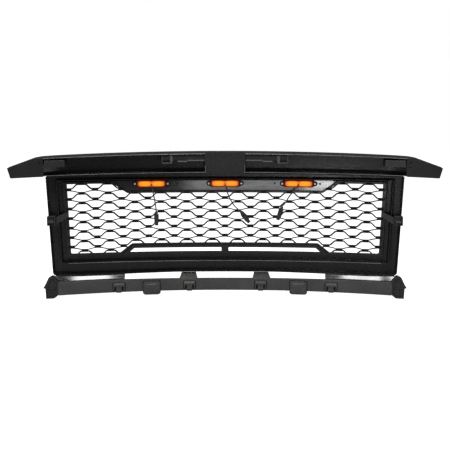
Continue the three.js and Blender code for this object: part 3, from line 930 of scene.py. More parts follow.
def add_lead(number, route):
    """A lead's curve, its start and its length in metres."""
    points = [point * MM for point in centripetal_spline(route, 6)]
    clear_selection()
    bpy.ops.curve.primitive_nurbs_path_add()
    lead = bpy.context.object
    lead.name = f"lead_{number}_sleeve"
    curve = lead.data
    curve.splines.clear()
    spline = curve.splines.new("POLY")
    spline.points.add(len(points) - 1)
    for place, point in zip(spline.points, points):
        place.co = (*point, 1)
    curve.dimensions = "3D"
    curve.bevel_depth = sizes().lead_diameter / 2
    curve.bevel_resolution = 4
    curve.use_fill_caps = True
    curve.materials.append(finish("cable"))
    length = sum((after - before).length for before, after in zip(points, points[1:]))
    return lead, points[0], length


def plug_template():
    """A two-pin plug, its cable entry at the origin and its nose along -Z."""
    parts = [
        block("shell", (-8.5, -5.5, -42), (8.5, 5.5, -9), 1.2),
        post("boot", (0, 0, -4), (0, 0, 0.4), 4.4, 3.1, 0.5),
        block("collar", (-5.5, -4, -12), (5.5, 4, -0.5), 1.4),
    ]
    for top in (-14, -18, -22):
        parts.append(block("rib", (-9, -5.8, top - 2), (9, 5.8, top), 0.6, 1))
    nose = block("nose", (-6.5, -4, -54), (6.5, 4, -40), 0.8)
    parts += [
        carve(nose, block("mouth", (-4.5, -2, -60), (4.5, 2, -46), 0)),
        block("band", (-8.9, -5.9, -42.5), (8.9, 5.9, -39), 0.7),
        block("latch", (-3, -9, -46), (3, -7.4, -14), 0.5),
        block("root", (-3, -9, -18), (3, -4, -14), 0.5),
        block("tooth", (-3, -8.6, -46), (3, -5.2, -43.5), 0.4),
    ]
    for x in (-4.8, 4.8):
        parts.append(block("guard", (x - 0.7, -8.4, -38), (x + 0.7, -5, -20), 0.4))
    return join("plug", parts)


class GRILLE_OT_leads(bpy.types.Operator):
    """Model the lamps' leads and the plugs at their ends"""

    bl_idname = "grille.leads"
    bl_label = "Leads and plugs"

    def execute(self, context):
        template = plug_template()
        for index, (route, aim) in enumerate(zip(LEAD_ROUTES, PLUG_DIRECTIONS)):
            number = index + 1
            lead, start, length = add_lead(number, route)
            direction = Vector(aim).normalized()
            turn = Vector((0, 0, -1)).rotation_difference(direction).to_matrix().to_4x4()
            end = Matrix.Translation((Vector(route[-1]) + direction * 0.8) * MM)
            plug = place_copy(template, f"plug_{number}", "housing", end @ turn, "connector")
            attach(lead, BODY)
            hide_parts(f"lead_{number}")
        remove(template)
        return {"FINISHED"}


# ---- Header and centre pad ----


def header_outer(rear):
    """The outer line of the header in Y and Z, from its rear top edge to its foot."""
    return [(rear + 1.6, 20.1), (75, 25), (75, -56), (rear, -53.5)]


def header_channel():
    parts = []
    reach = PAD_HALF_WIDTH + 1
    lengths = [(-HEADER_HALF_WIDTH, -reach, 4), (reach, HEADER_HALF_WIDTH, 4), (-reach - 1, reach + 1, 9)]
    for low, high, rear in lengths:
        inner = [(rear + 1.6, -50.6), (72, -53), (72, 22), (rear, 17)]
        profile = fillet([*header_outer(rear), *inner], 1)
        parts.append(moulding("shell", [profile], low, high, 0.7, "YZ"))
    for side in SIDES:
        low, high = span(side, HEADER_HALF_WIDTH - 3, HEADER_HALF_WIDTH)
        parts.append(moulding("tip", [fillet(header_outer(4), 1.5)], low, high, plane="YZ"))
    painted(parts, "satin black")
    highlight_beads = []
    # The beads along the top and bottom flange edges are a lighter grey: a painted highlight line along
    # each edge.
    for side in SIDES:
        for start, end, z in ((246, 676, 17.4), (78, 676, -53)):
            bead = [(3.4, z), (3.4, z + 2.2), (6, z + 2.2), (6, z)]
            highlight_beads.append(moulding("bead", [fillet(bead, 0.8, 2)], *span(side, start, end), 0.4, "YZ"))
    painted(highlight_beads, "edge grey")
    channel = join("header_bar_channel", [*parts, *highlight_beads])
    slice_along(channel, 23)
    bend(channel, following_header, bowed)
    finish_piece(channel, "satin black", "header_bar")


def header_end(side):
    low, high = span(side, END_COVER_START, HEADER_HALF_WIDTH)
    holes = [circle(side * 690, z, 3) for z in (2, -17)]
    parts = [moulding("cover", [fillet(rectangle(low, -55, high, 22), 4), *holes], 0, 3)]
    for reach, width in ((3, 1.6), (29, 1.1)):
        x = side * (END_COVER_START + reach)
        parts.append(block("bead", (x - width, -0.9, -50), (x + width, 1.5, 17), 0.6))
    node = f"header_end_{SIDES[side]}"
    piece = join(f"{node}_cover", parts)
    slice_along(piece, 14)
    bend(piece, blended_header, bowed)
    finish_piece(piece, "header grey", node)


def header_block(side):
    low, high = span(side, 600, 674)
    ring = fillet(rectangle(low, -26, high, -1), 3)
    hole = fillet(rectangle(low + 3, -23, high - 3, -4), 2)
    walls = moulding("walls", [ring, hole], 3, 56)
    face = moulding("face", [ring], 2, 5)
    ribs = [block("rib", (x - 1, 1.2, -24), (x + 1, 3.5, -3), 0.5) for x in (low + 25, low + 49)]
    node = f"header_block_{SIDES[side]}"
    piece = join(f"{node}_box", [face, walls, *ribs])
    slice_along(piece, 14)
    bend(piece, bowed)
    finish_piece(piece, "bracket black", node)


class GRILLE_OT_header(bpy.types.Operator):
    """Model the header channel, its end covers and its blocks"""

    bl_idname = "grille.header"
    bl_label = "Header"

    def execute(self, context):
        header_channel()
        for side in SIDES:
            header_end(side)
            header_block(side)
        return {"FINISHED"}


def pad_arm(side):
    """An arm out to a hooked ear on one side of the pad."""
    low, high = span(side, PAD_HALF_WIDTH - 6, EAR_END)
    arm = moulding("arm", [fillet(rectangle(low, -7, high, 14), 2)], 12, 15)
    near, far = span(side, EAR_START, EAR_END)
    back = moulding("back", [fillet(rectangle(near, -19, far, 12), 3)], 21, 24)
    dark = painted([arm, back], "header grey")
    lips = []
    for start, end, z in ((78, 143, -7), (145, 180, -11)):
        lip = [(12.5, z + 3), (9.4, z - 1), (10, z - 2.4), (12.5, z - 2)]
        lips.append(moulding("lip", [fillet(lip, 0.4, 2)], *span(side, start, end), 0.4, "YZ"))
    outer, inner, stem = side * EAR_END, side * (EAR_END - 3), side * 200
    hook = [(outer, 12), (outer, -19), (stem, -19), (stem, -14.5), (inner, -14.5), (inner, 12)]
    lips.append(moulding("hook", [fillet(hook, 1.2)], 8, 24))
    rib = side * 204
    lips.append(block("rib", (rib - 5, 9, -15), (rib + 5, 22, 12), 1.2))
    piece = join("arm", dark + painted(lips, "moulded grey"))
    slice_along(piece, 14)
    return bend(piece, bowed)


class GRILLE_OT_centre_pad(bpy.types.Operator):
    """Model the flat centre pad with its arms"""

    bl_idname = "grille.centre_pad"
    bl_label = "Centre pad"

    def execute(self, context):
        half = PAD_HALF_WIDTH
        face = PAD_HALF_HEIGHT
        sheet = [(0, face), (0, -face), (4.5, -57), (7.5, -57), (3, -face), (3, face)]
        plate = moulding("plate", [fillet(sheet, 1.2)], -half, half, plane="YZ")
        wall = half - 4
        ring = fillet(rectangle(-wall, -46, wall, 13), 3)
        hole = fillet(rectangle(3 - wall, -43, wall - 3, 10), 2)
        box = moulding("box", [ring, hole], 1, 69)
        # The beads at the pad's sides are a lighter grey: a painted highlight line along each edge.
        highlight_beads = [block("bead", (x - 0.9, -0.3, -55), (x + 0.9, 8.5, -26), 0.5) for x in (-75, 75)]
        ribs = [block("web", (x - 1.2, 2, -44), (x + 1.2, 60, 11), 0.5) for x in (-24, 24)]
        parts = painted([plate, box, *ribs], "header grey") + painted(highlight_beads, "edge grey")
        pad = join("centre_pad_body", [*parts, pad_arm(-1), pad_arm(1)])
        finish_piece(pad, "moulded grey", "centre_pad")
        return {"FINISHED"}


# ---- Surround ----


def frame_outline(grow):
    left = [
        (-677 - grow, -64 + grow), (-660 - grow, -438 - grow / 2), (-652 - grow / 2, -446 - grow),
        (-560, -449 - grow), (-389, -449 - grow), (-195, -445 - grow),
    ]
    return [*mirrored(left), (338, -59.2 + grow), (0, -57.4 + grow), (-338, -59.2 + grow)]


def wall_outline(grow):
    return mirrored([(-636 - grow, -82 + grow), (-624 - grow, -399 - grow)])


def upturned(point):
    """Lift the outer end of a ledge, and let its foot follow the lower bar."""
    reach = abs(point.x)
    foot = max(0, reach - 0.59) ** 2 - BAR_DROP * reach**2
    point.z += foot if point.z < -0.460 else 0.033 * max(0, reach - 0.56)
    return point


def ledge(side):
    """A sloping glossy ledge under the surround, turning up at its outer end."""
    profile = [
        (29.4, -462.4), (39, -453.4), (39, -449), (36, -449),
        (36, -452.6), (27.2, -461), (27.2, -467.2), (29.4, -467.2),
    ]
    node = f"ledge_{SIDES[side]}"
    piece = moulding(f"{node}_lip", [fillet(profile, 0.6, 2)], *span(side, 389, 651), 0.5, "YZ")
    slice_along(piece, 12)
    bend(piece, upturned, bowed)
    finish_piece(piece, "gloss black", node)


class GRILLE_OT_surround(bpy.types.Operator):
    """Model the surround, its two walls and its ledges"""

    bl_idname = "grille.surround"
    bl_label = "Surround"

    def execute(self, context):
        rim = fillet(frame_outline(0), 5)
        opening = fillet(mirrored([(-606, -92), (-596, -369)]), 6)
        walls = {
            "outer wall": [rim, fillet(frame_outline(-3), 4)],
            "inner wall": [fillet(wall_outline(3), 5), fillet(wall_outline(0), 4)],
        }
        parts = [moulding("face", [rim, opening], FRAME_FRONT - 3, FRAME_FRONT)]
        for name, outlines in walls.items():
            parts.append(moulding(name, outlines, FRAME_REAR, FRAME_FRONT - 1))
        painted(parts, "satin black")
        # The roll along the inner wall's lower edge is a lighter grey: a painted highlight line.
        roll = [(35.9, -402.2), (35.9, -399.4), (38.5, -399.4), (38.5, -402.2)]
        parts += painted([moulding("roll", [fillet(roll, 0.8, 2)], -600, 600, 0.5, "YZ")], "edge grey")
        surround = join("surround_frame", parts)
        slice_along(surround, 23)
        bend(surround, bowed)
        finish_piece(surround, "satin black", "surround")
        for side in SIDES:
            ledge(side)
        return {"FINISHED"}


# ---- Mesh panel and lower insert ----

WINDOW = mirrored([(-377, -135), (-431, -97), (-605, -97), (-594, -368), (-409, -368), (-362, -332)])
BARS_REACH = mirrored([(-376, -132), (-430.5, -94), (-608, -94), (-597, -371), (-408, -371), (-361, -335)])


def inside(polygon, point):
    """Whether a point lies in a closed outline."""
    x, z = point
    found = False
    for (x1, z1), (x2, z2) in zip(polygon, [*polygon[1:], polygon[0]]):
        if (z1 > z) != (z2 > z) and x < x1 + (z - z1) * (x2 - x1) / (z2 - z1):
            found = not found
    return found


def tapered(point):
    x, z = point
    return x * (1 + MESH_TAPER * (z - FIRST_ROW)), z


def crossing(kept, lost):
    """The point between the two where the bars' reach ends."""
    a, b = Vector(kept), Vector(lost)
    for _ in range(14):
        middle = (a + b) / 2
        if inside(BARS_REACH, middle):
            a = middle
        else:
            b = middle
    return (a.x, a.y)


def runs_inside(line):
    """The stretches of a line that lie in the bars' reach."""
    runs = []
    run = []
    for before, after in zip(line, line[1:]):
        starts, ends = inside(BARS_REACH, before), inside(BARS_REACH, after)
        if starts and not run:
            run = [before]
        if starts and ends:
            run.append(after)
        elif starts:
            run.append(crossing(before, after))
            runs.append(run)
            run = []
        elif ends:
            run = [crossing(after, before), after]
    if run:
        runs.append(run)
    return runs


def softened(line, reach=3.2):
    """The open line with its corners rounded."""
    soft = [line[0]]
    for before, here, after in zip(line, line[1:], line[2:]):
        corner = Vector(here)
        back = (Vector(before) - corner).normalized() * reach
        ahead = (Vector(after) - corner).normalized() * reach
        for t in (0, 0.5, 1):
            place = corner + back * (1 - t) ** 2 + ahead * t**2
            soft.append((place.x, place.y))
    return [*soft, line[-1]]


def band(line, width):
    """A closed outline that follows a line on both sides."""
    left = []
    right = []
    for index, point in enumerate(line):
        before = Vector(line[max(0, index - 1)])
        after = Vector(line[min(len(line) - 1, index + 1)])
        along = (after - before).normalized()
        across = Vector((-along.y, along.x)) * width / 2
        here = Vector(point)
        left.append(tuple(here + across))
        right.append(tuple(here - across))
    return [*left, *reversed(right)]


def row_height(index):
    return FIRST_ROW - index * sizes().row_pitch / MM


def wave_lines(row):
    """The thick and the thin line of one row."""
    pitch = sizes().mesh_pitch / MM
    half = pitch / 2
    thick = []
    thin = []
    for column in range(COLUMNS + 1):
        low = (column - (COLUMNS + 1) / 2 + 0.5) * pitch - half
        thick += [(low - 15, row - 19.7), (low + 15, row - 19.7)]
        thick += [(low + half - 17.5, row - 3), (low + half + 17.5, row - 3)]
        for step in range(8):
            x = low - half + 10.5 + (pitch - 21) * step / 7
            thin.append((x, row + 3 + 7.4 * math.sin(math.pi * step / 7)))
    return softened(thick), thin


def mesh_bars():
    bars = []
    for index in range(ROWS + 1):
        thick, thin = wave_lines(row_height(index))
        for line, width in ((thick, sizes().thick_bar / MM), (thin, sizes().thin_bar / MM)):
            for run in runs_inside([tapered(point) for point in line]):
                bars.append(moulding("bar", [band(run, width)], MESH_REAR, MESH_FRONT, 0.8))
    return bars


def mesh_dashes():
    """Short solid bars where the thick and thin bars meet."""
    template = block("dash", (-12, MESH_REAR - 0.4, -5.4), (12, MESH_FRONT, 5.2), 1.2, 1)
    half = sizes().mesh_pitch / MM / 2
    dashes = []
    for index in range(ROWS):
        for column in range(-COLUMNS, COLUMNS + 1):
            height = row_height(index) - (0 if column % 2 else ROW_DROP)
            x, z = tapered((column * half, height))
            if inside(BARS_REACH, (x, z)):
                dashes.append(copy_of(template, "dash", Matrix.Translation((x * MM, 0, z * MM))))
    remove(template)
    return dashes


def standoff(x, z):
    bow = sizes().bow * (x * MM) ** 2 / MM
    start = (x, MESH_REAR + 2 - bow, z)
    return post("standoff", start, (x, FRAME_FRONT - 3 - SEAT - bow, z), 4, 4, 0.3, 16)


class GRILLE_OT_mesh_panel(bpy.types.Operator):
    """Model the mesh: its border, its wavy bars and its dashes"""

    bl_idname = "grille.mesh_panel"
    bl_label = "Mesh panel"

    def execute(self, context):
        left = [(-377, -127), (-432.4, -88), (-618, -88), (-607, -377), (-406.5, -377), (-360, -338)]
        holes = [circle(x, z, SCREW_HOLE, 12) for x, z in MESH_SCREWS]
        outlines = [fillet(mirrored(left), 3), fillet(WINDOW, 4), *holes]
        border = moulding("border", outlines, MESH_REAR, MESH_FRONT)
        edges = (mirrored([(-431, -90), (-378, -128)]), mirrored([(-405, -375), (-361, -338)]))
        strips = [moulding("strip", [band(line, 5)], 57.6, 59.9, 0.4) for line in edges]
        border = join("border", [border, *strips])
        slice_along(border, 26)
        tabs = [block("tab", (x - 7, 57.6, -131), (x + 7, 59.6, -91), 0.5) for x in PANEL_SCREWS]
        dashes = painted(mesh_dashes(), "deep black")
        # The bars are a lighter black than the border: a painted reflection.
        bars = painted([border, *tabs], "satin black") + painted(mesh_bars(), "mesh black")
        panel = join("mesh_panel_grid", [*bars, *dashes])
        bend(panel, bowed)
        posts = painted([standoff(x, z) for x, z in MESH_SCREWS], "satin black")
        panel = join("mesh_panel_grid", [panel, *posts])
        finish_piece(panel, "satin black", "mesh_panel")
        return {"FINISHED"}


class GRILLE_OT_lower_insert(bpy.types.Operator):
    """Model the slotted insert below the mesh"""

    bl_idname = "grille.lower_insert"
    bl_label = "Lower insert"

    def execute(self, context):
        openings = []
        for side in SIDES:
            slot = [(side * 14, -351), (side * 14, -369), (side * 374, -369), (side * 353, -351)]
            openings.append(fillet(slot, 3))
        openings += [circle(x, INSERT_SCREW_HEIGHT, SCREW_HOLE, 12) for x in INSERT_SCREWS]
        edge = fillet(mirrored([(-359.5, -339.3), (-404.5, -377)]), 3)
        bar = moulding("bar", [edge, *openings], MESH_REAR, MESH_FRONT)
        slice_along(bar, 26)
        bend(bar, bowed)
        posts = [standoff(x, INSERT_SCREW_HEIGHT) for x in INSERT_SCREWS]
        insert = join("lower_insert_bar", [bar, *posts])
        finish_piece(insert, "satin black", "lower_insert")
        return {"FINISHED"}


# ---- Lamp panel and lamps ----


def lamp_matrix(place):
    """Where a lamp sits, seated on the bowed panel and turned with it."""
    x = place * LAMP_PITCH * MM
    y = (PANEL_REAR - SEAT) * MM - sizes().bow * x**2
    return Matrix.Translation((x, y, LAMP_HEIGHT * MM)) @ bow_turn(x)


def lamp_holes(reach=LAMP_SCREW, x=0, z=0):
    """The two screw holes of a lamp."""
    return [circle(x + side * reach, z, LAMP_HOLE, 12) for side in SIDES]


class GRILLE_OT_lamp_panel(bpy.types.Operator):
    """Model the glossy panel that carries the lamps"""

    bl_idname = "grille.lamp_panel"
    bl_label = "Lamp panel"

    def execute(self, context):
        outline = fillet(mirrored([(-431, -86), (-377, -126)]), 2)
        holes = [circle(x, LAMP_HEIGHT, SCREW_HOLE, 12) for x in PANEL_SCREWS]
        for place in (-1, 0, 1):
            x = place * LAMP_PITCH
            holes.append(rounded_rectangle(x, LAMP_HEIGHT, 94, 19, 6))
            reach = LAMP_SCREW * math.cos(math.atan(2 * sizes().bow * x * MM))
            holes += lamp_holes(reach, x, LAMP_HEIGHT)
        face = moulding("face", [outline, *holes], PANEL_REAR, PANEL_REAR + 3, 0.7)
        flange = block("flange", (-430, PANEL_REAR + 0.5, -89), (430, PANEL_REAR + 14, -86), 0.7)
        panel = join("led_panel_plate", [face, flange])
        slice_along(panel, 18)
        bend(panel, bowed)
        finish_piece(panel, "gloss black", "led_panel")
        return {"FINISHED"}


def ear_outline(grow):
    """A rounded body with a screw ear at each end."""
    radius = 7 + grow
    shoulder = 50 + grow / 2
    tall = 12 + grow
    right = []
    for index in range(9):
        turn = math.pi * (index / 8 - 0.5)
        right.append((LAMP_SCREW + radius * math.cos(turn), radius * math.sin(turn)))
    left = [(-x, -z) for x, z in right]
    return [*right, (shoulder, tall), (-shoulder, tall), *left, (-shoulder, -tall), (shoulder, -tall)]


def store_lamp_place(piece):
    """Keep each point's place in the lamp, for the glow."""
    mesh = piece.data
    attribute = mesh.attributes.new("lamp_place", "FLOAT_VECTOR", "POINT")
    values = [value for vertex in mesh.vertices for value in vertex.co]
    attribute.data.foreach_set("vector", values)
    return piece


def lamp_housing():
    flange = moulding("flange", [ear_outline(0), *lamp_holes()], -5, -2.6, 0.5)
    body = moulding("body", [rounded_rectangle(0, 0, 100, 24, 6, 5)], -14, -2.7, 2.0, rounding=3)
    boss = post("boss", (0, -12, 0), (0, -18, 0), 5, 4.2, 0.6)
    ring = post("ring", (0, -17.2, 0), (0, -19.4, 0), 4.0, 3.2, 0.5)
    ribs = [block("rib", (x - 0.6, -14.5, -9), (x + 0.6, -13, 9), 0.4, 1) for x in (-38, 38)]
    return store_lamp_place(join("housing", [body, flange, boss, ring, *ribs]))


def lamp_lens():
    parts = [moulding("lens", [rounded_rectangle(0, 0, 91, 16, 6, 5)], -6, 9, 2.4, rounding=3)]
    for index in range(-8, 9):
        x = index * 4.8
        parts.append(block("flute", (x - 0.9, 7.6, -5.6), (x + 0.9, 9.0, 5.6), 0.5, 1))
    return store_lamp_place(join("lens", parts))


def pan_screw(length):
    """A pan-head screw along +Y with a cross recess, its seat at the origin."""
    top = post("head", (0, 0, 0), (0, -2.8, 0), SCREW_HEAD, SCREW_HEAD * 0.84, 0.6, 28)
    for x, z in ((1.8, 0.4), (0.4, 1.8)):
        carve(top, block("recess", (-x, -4, -z), (x, -1.6, z), 0))
    shaft = post("shaft", (0, -0.2, 0), (0, length, 0), 1.7, 1.5, 0.4, 12)
    return join("screw", [top, shaft])


def fit_lamp(number, matrix, parts, screw):
    """Place one lamp's parts and screws, and finish its board."""
    for template, node, kind, look, slot in parts:
        place_copy(template, f"lamp_{number}_{node}", kind, matrix, look)
    for side, label in SIDES.items():
        seat = matrix @ Matrix.Translation((side * LAMP_SCREW * MM, -5.3 * MM, 0))
        place_copy(screw, f"lamp_{number}_screw_{label}", "pan", seat, "pale steel", 30)
    painted([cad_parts[f"lamp_{number}_board"]], "circuit board")


class GRILLE_OT_lamps(bpy.types.Operator):
    """Model the amber lamps with their gaskets, lenses and screws"""

    bl_idname = "grille.lamps"
    bl_label = "Lamps"

    def execute(self, context):
        housing = lamp_housing()
        lens = lamp_lens()
        sheet = [ear_outline(2.6), rounded_rectangle(0, 0, 95, 19, 6), *lamp_holes()]
        gasket = moulding("gasket", sheet, -2.3, -0.4, 0.4)
        screw = pan_screw(11)
        parts = (
            (housing, "housing", "body", "lamp body", "amber_lens"),
            (lens, "lens", "cover", "lamp lens", "amber_lens"),
            (gasket, "gasket", "sheet", "rubber", "gasket"),
        )
        for place in (-1, 0, 1):
            fit_lamp(place + 2, lamp_matrix(place), parts, screw)
        remove(housing, lens, gasket, screw)
        return {"FINISHED"}


# ---- Lower bar ----


def clip_boss(x):
    """A raised hood over a tongue that takes a retainer, ringed by a near-black plate that paints the
    shadow of a gap around it.
    """
    # A near-black plate behind the boss paints a shadow outline around it.
    seam = moulding("seam", [fillet(rectangle(x - 25, -505, x + 25, -474), 4)], 5.2, 6.6, 0.3)
    hood = [(7, -476), (2.6, -476), (0, -481.5), (0, -488.5), (7, -488.5)]
    parts = [moulding("hood", [fillet(hood, 0.7, 2)], x - 20, x + 20, 0.8, "YZ")]
    for a in (x - 22, x + 17.5):
        outline = [(a, -504), (a + 4.5, -502), (a + 4.5, -477), (a, -477)]
        parts.append(moulding("cheek", [fillet(outline, 1.5)], 0.8, 7, 0.8))
    parts.append(moulding("tongue", [fillet(rectangle(x - 11, -508, x + 11, -487), 3)], 0, 3))
    return painted([seam], "deep black") + painted(parts, "moulded grey")


def guide_tongue(x):
    """A broad tongue with a rounded foot and a wedge across its top, in a lighter grey that paints a
    highlight line.
    """
    outline = [(-32, -473), (-32, -519), (-25, -525), (25, -525), (32, -519), (32, -473)]
    wide = [(x + a * 1.07, z + (2.2 if z > -500 else -0.6)) for a, z in outline]
    # A near-black plate behind the tongue paints a shadow outline around it.
    seam = moulding("seam", [fillet(wide, 7)], 4.8, 6.6, 0.3)
    plate = moulding("tongue", [fillet([(x + a, z) for a, z in outline], 7)], 1, 7, 1.4)
    # The wedge is painted a lighter grey: a painted highlight line across the tongue.
    highlight_wedge = [(3, -477.6), (-0.1, -483.6), (2.5, -484.4)]
    lip = moulding("lip", [fillet(highlight_wedge, 0.3, 2)], x - 21, x + 21, 0.5, "YZ")
    pad = [(x - 24, -489), (x - 24, -517), (x + 24, -517), (x + 24, -489)]
    swell = moulding("swell", [fillet(pad, 6)], 0.2, 3, 0.8)
    parts = painted([plate, swell], "moulded grey") + painted([lip], "edge grey")
    return parts + painted([seam], "deep black")


def bar_tab(side):
    """A sloping tab, narrower at its top, that reaches the surround."""
    profile = [(11, TAB_FOOT), (11, TAB_FOOT + 4), (50, TAB_TOP), (53, TAB_TOP), (15, TAB_FOOT)]
    tab = moulding("tab", [fillet(profile, 0.8, 2)], -36, 36, 0.7, "YZ")
    for vertex in tab.data.vertices:
        rise = (vertex.co.z / MM - TAB_FOOT) / (TAB_TOP - TAB_FOOT)
        vertex.co.x *= 1 - TAB_TAPER * max(0.0, min(1.0, rise))
        vertex.co.x += side * TAB_PLACE * MM
    return tab


class GRILLE_OT_lower_bar(bpy.types.Operator):
    """Model the lower mounting bar with its bosses, tongues and tabs"""

    bl_idname = "grille.lower_bar"
    bl_label = "Lower bar"

    def execute(self, context):
        outer = [(6, -466), (24, -466), (24, -469), (9, -469)]
        inner = [(9, -509), (24, -509), (24, -512), (6, -512)]
        profile = fillet([*outer, *inner], 1.3)
        channel = moulding("channel", [profile], -BAR_HALF_WIDTH, BAR_HALF_WIDTH, plane="YZ")
        slice_along(channel, 24)
        bend(channel, deepened)
        painted([channel], "moulded grey")
        details = [piece for x in CLIP_PLACES for piece in clip_boss(x)]
        details += guide_tongue(-TONGUE_PLACE) + guide_tongue(TONGUE_PLACE)
        bar = join("lower_bar_channel", [channel, *details])
        bend(bar, dropped)
        tabs = painted([bar_tab(-1), bar_tab(1)], "moulded grey")
        bar = join("lower_bar_channel", [bar, *tabs])
        bend(bar, bowed)
        finish_piece(bar, "moulded grey", "lower_bar")
        return {"FINISHED"}


# ---- Brackets and retainers ----


def shrunk(outline, amount):
    """An outline drawn in towards its middle."""
    count = len(outline)
    middle_x = sum(x for x, _ in outline) / count
    middle_z = sum(z for _, z in outline) / count
    return [(x + (middle_x - x) * amount, z + (middle_z - z) * amount) for x, z in outline]


def corner_bracket(side):
    outline = [
        (659, -441), (671, -447), (684, -474), (692, -487), (684, -489), (682, -529),
        (653, -529), (638, -518), (637, -462), (645, -452), (652, -442),
    ]
    body = [(660, -450), (674, -475), (677, -524), (655, -524), (643, -514), (642, -468), (650, -455)]
    outline = [(side * x, z) for x, z in outline]
    body = [(side * x, z) for x, z in body]
    rim = moulding("rim", [fillet(outline, 2), fillet(body, 3)], 4.8, 24.8)
    web = moulding("web", [fillet(shrunk(outline, 0.04), 2)], 11, 14)
    low, high = span(side, 645, 675)
    shelf = block("shelf", (low, 7, -491), (high, 23, -488.5), 0.7)
    low, high = span(side, 659, 662)
    rib = block("rib", (low, 7, -526), (high, 23, -490), 0.7)
    node = f"corner_bracket_{SIDES[side]}"
    piece = join(f"{node}_shell", [rim, web, shelf, rib])
    bend(piece, bowed)
    finish_piece(piece, "bracket black", node)


def side_bracket(side):
    low, high = span(side, 641, 671)
    strap = [(side * 598, -200), (side * 598, -221), (side * 645, -250), (side * 645, -221)]
    ring = fillet(rectangle(low, -248, high, -212), 3)
    hole = fillet(rectangle(low + 4, -244, high - 4, -216), 2)
    parts = [
        moulding("strap", [fillet(strap, 2)], 31, 34),
        moulding("head", [ring, hole], 8, 34),
        moulding("web", [ring], 14, 17),
        block("shelf", (low + 2, 8.5, -226.5), (high - 2, 16, -224), 0.7),
        block("tongue", (low + 5, -12, -231.5), (high - 5, 12, -228.5), 0.8),
    ]
    node = f"side_bracket_{SIDES[side]}"
    piece = join(f"{node}_arm", parts)
    slice_along(piece, 12)
    bend(piece, bowed)
    finish_piece(piece, "bracket black", node)


class GRILLE_OT_brackets(bpy.types.Operator):
    """Model the corner brackets and the side brackets"""

    bl_idname = "grille.brackets"
    bl_label = "Brackets"

    def execute(self, context):
        for side in SIDES:
            corner_bracket(side)
            side_bracket(side)
        return {"FINISHED"}


def retainer_template():
    """A strip bent to a U around a tongue, with lanced teeth and flared ends."""
    leg = 1.1
    rear = -1.9
    front = 4.9
    outer = [(rear, 0), (rear, -22.5), (front, -22.5), (front, -1)]
    inner = [(front - leg, -1), (front - leg, -21.4), (rear + leg, -21.4), (rear + leg, 0)]
    strip = moulding("strip", [fillet([*outer, *inner], 1.0)], -9.5, 9.5, 0.3, "YZ")
    teeth = []
    for x in (-4.6, 4.6):
        carve(strip, block("window", (x - 2.2, -5, -16), (x + 2.2, 0, -7), 0))
        tooth = [(rear + 0.2, -7.5), (rear - 1.9, -13.2), (rear - 1.4, -14), (rear + 0.9, -8.2)]
        teeth.append(moulding("tooth", [tooth], x - 1.8, x + 1.8, 0.15, "YZ"))
    flare = [(rear + 0.2, -0.4), (rear - 1.6, 2.6), (rear - 0.7, 3.1), (rear + 1.1, 0.2)]
    teeth.append(moulding("flare", [flare], -8.5, 8.5, 0.2, "YZ"))
    return join("retainer", [strip, *teeth])


class GRILLE_OT_retainers(bpy.types.Operator):
    """Model the spring-steel retainers on their tongues"""

    bl_idname = "grille.retainers"
    bl_label = "Retainers"

    def execute(self, context):
        template = retainer_template()
        bow = sizes().bow
        seats = {}
        for index, place in enumerate(CLIP_PLACES):
            x = place * MM
            seat = Matrix.Translation((x, -bow * x**2, CLIP_HEIGHT * MM - BAR_DROP * x**2))
            seats[f"lower_retainer_{index + 1}"] = seat @ bow_turn(x)
        for side, label in SIDES.items():
            x = side * SIDE_CLIP[0] * MM
            seat = Matrix.Translation((x, SIDE_CLIP[1] * MM - bow * x**2, SIDE_CLIP[2] * MM))
            tip = Matrix.Rotation(-math.pi / 2, 4, "X")
            seats[f"side_retainer_{label}"] = seat @ bow_turn(x) @ tip
        for node, seat in seats.items():
            place_copy(template, node, "clip", seat, "spring steel", 30)
        remove(template)
        return {"FINISHED"}


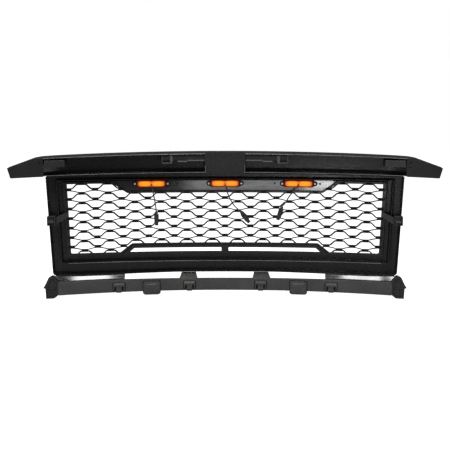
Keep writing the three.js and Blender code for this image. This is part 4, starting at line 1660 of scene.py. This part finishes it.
class GRILLE_OT_screws(bpy.types.Operator):
    """Model the black screws of the panels"""

    bl_idname = "grille.screws"
    bl_label = "Screws"

    def execute(self, context):
        bow = sizes().bow * MM
        groups = (
            ("panel_screw", [(x, LAMP_HEIGHT) for x in PANEL_SCREWS], PANEL_REAR - 0.3, 8),
            ("mesh_screw", MESH_SCREWS, MESH_REAR - 0.3, 19),
            ("insert_screw", [(x, INSERT_SCREW_HEIGHT) for x in INSERT_SCREWS], MESH_REAR - 0.3, 19),
        )
        for name, places, rear, length in groups:
            template = pan_screw(length)
            for index, (x, z) in enumerate(places):
                lean = 2 * bow * abs(x) * SCREW_HEAD
                seat = Matrix.Translation(Vector((x, rear - bow * x**2 - lean, z)) * MM)
                place_copy(template, f"{name}_{index + 1}", "pan", seat, "black steel", 30)
            remove(template)
        return {"FINISHED"}


# ---- Add-on ----

STEPS = (
    GRILLE_OT_stage,
    GRILLE_OT_leads,
    GRILLE_OT_header,
    GRILLE_OT_centre_pad,
    GRILLE_OT_surround,
    GRILLE_OT_mesh_panel,
    GRILLE_OT_lower_insert,
    GRILLE_OT_lamp_panel,
    GRILLE_OT_lamps,
    GRILLE_OT_lower_bar,
    GRILLE_OT_brackets,
    GRILLE_OT_retainers,
    GRILLE_OT_screws,
)


class GRILLE_PT_sidebar(bpy.types.Panel):
    """Lists the grille's sizes, colours and building steps"""

    bl_idname = "GRILLE_PT_sidebar"
    bl_label = "Front Grille"
    bl_space_type = "VIEW_3D"
    bl_region_type = "UI"
    bl_category = "Grille"

    def draw(self, context):
        for settings in (context.scene.grille_sizes, context.scene.grille_colours):
            box = self.layout.box()
            for name in settings.__annotations__:
                box.prop(settings, name)
        column = self.layout.column(align=True)
        for step in STEPS:
            column.operator(step.bl_idname)


CLASSES = (GrilleSizes, GrilleColours, *STEPS, GRILLE_PT_sidebar)


def register():
    for kind in CLASSES:
        bpy.utils.register_class(kind)
    bpy.types.Scene.grille_sizes = bpy.props.PointerProperty(type=GrilleSizes)
    bpy.types.Scene.grille_colours = bpy.props.PointerProperty(type=GrilleColours)


def unregister():
    del bpy.types.Scene.grille_colours
    del bpy.types.Scene.grille_sizes
    for kind in reversed(CLASSES):
        bpy.utils.unregister_class(kind)


def write_sizes():
    clear_selection()


def main():
    register()
    for step in STEPS:
        area, name = step.bl_idname.split(".")
        getattr(getattr(bpy.ops, area), name)()
    write_sizes()


if __name__ == "__main__":
    main()
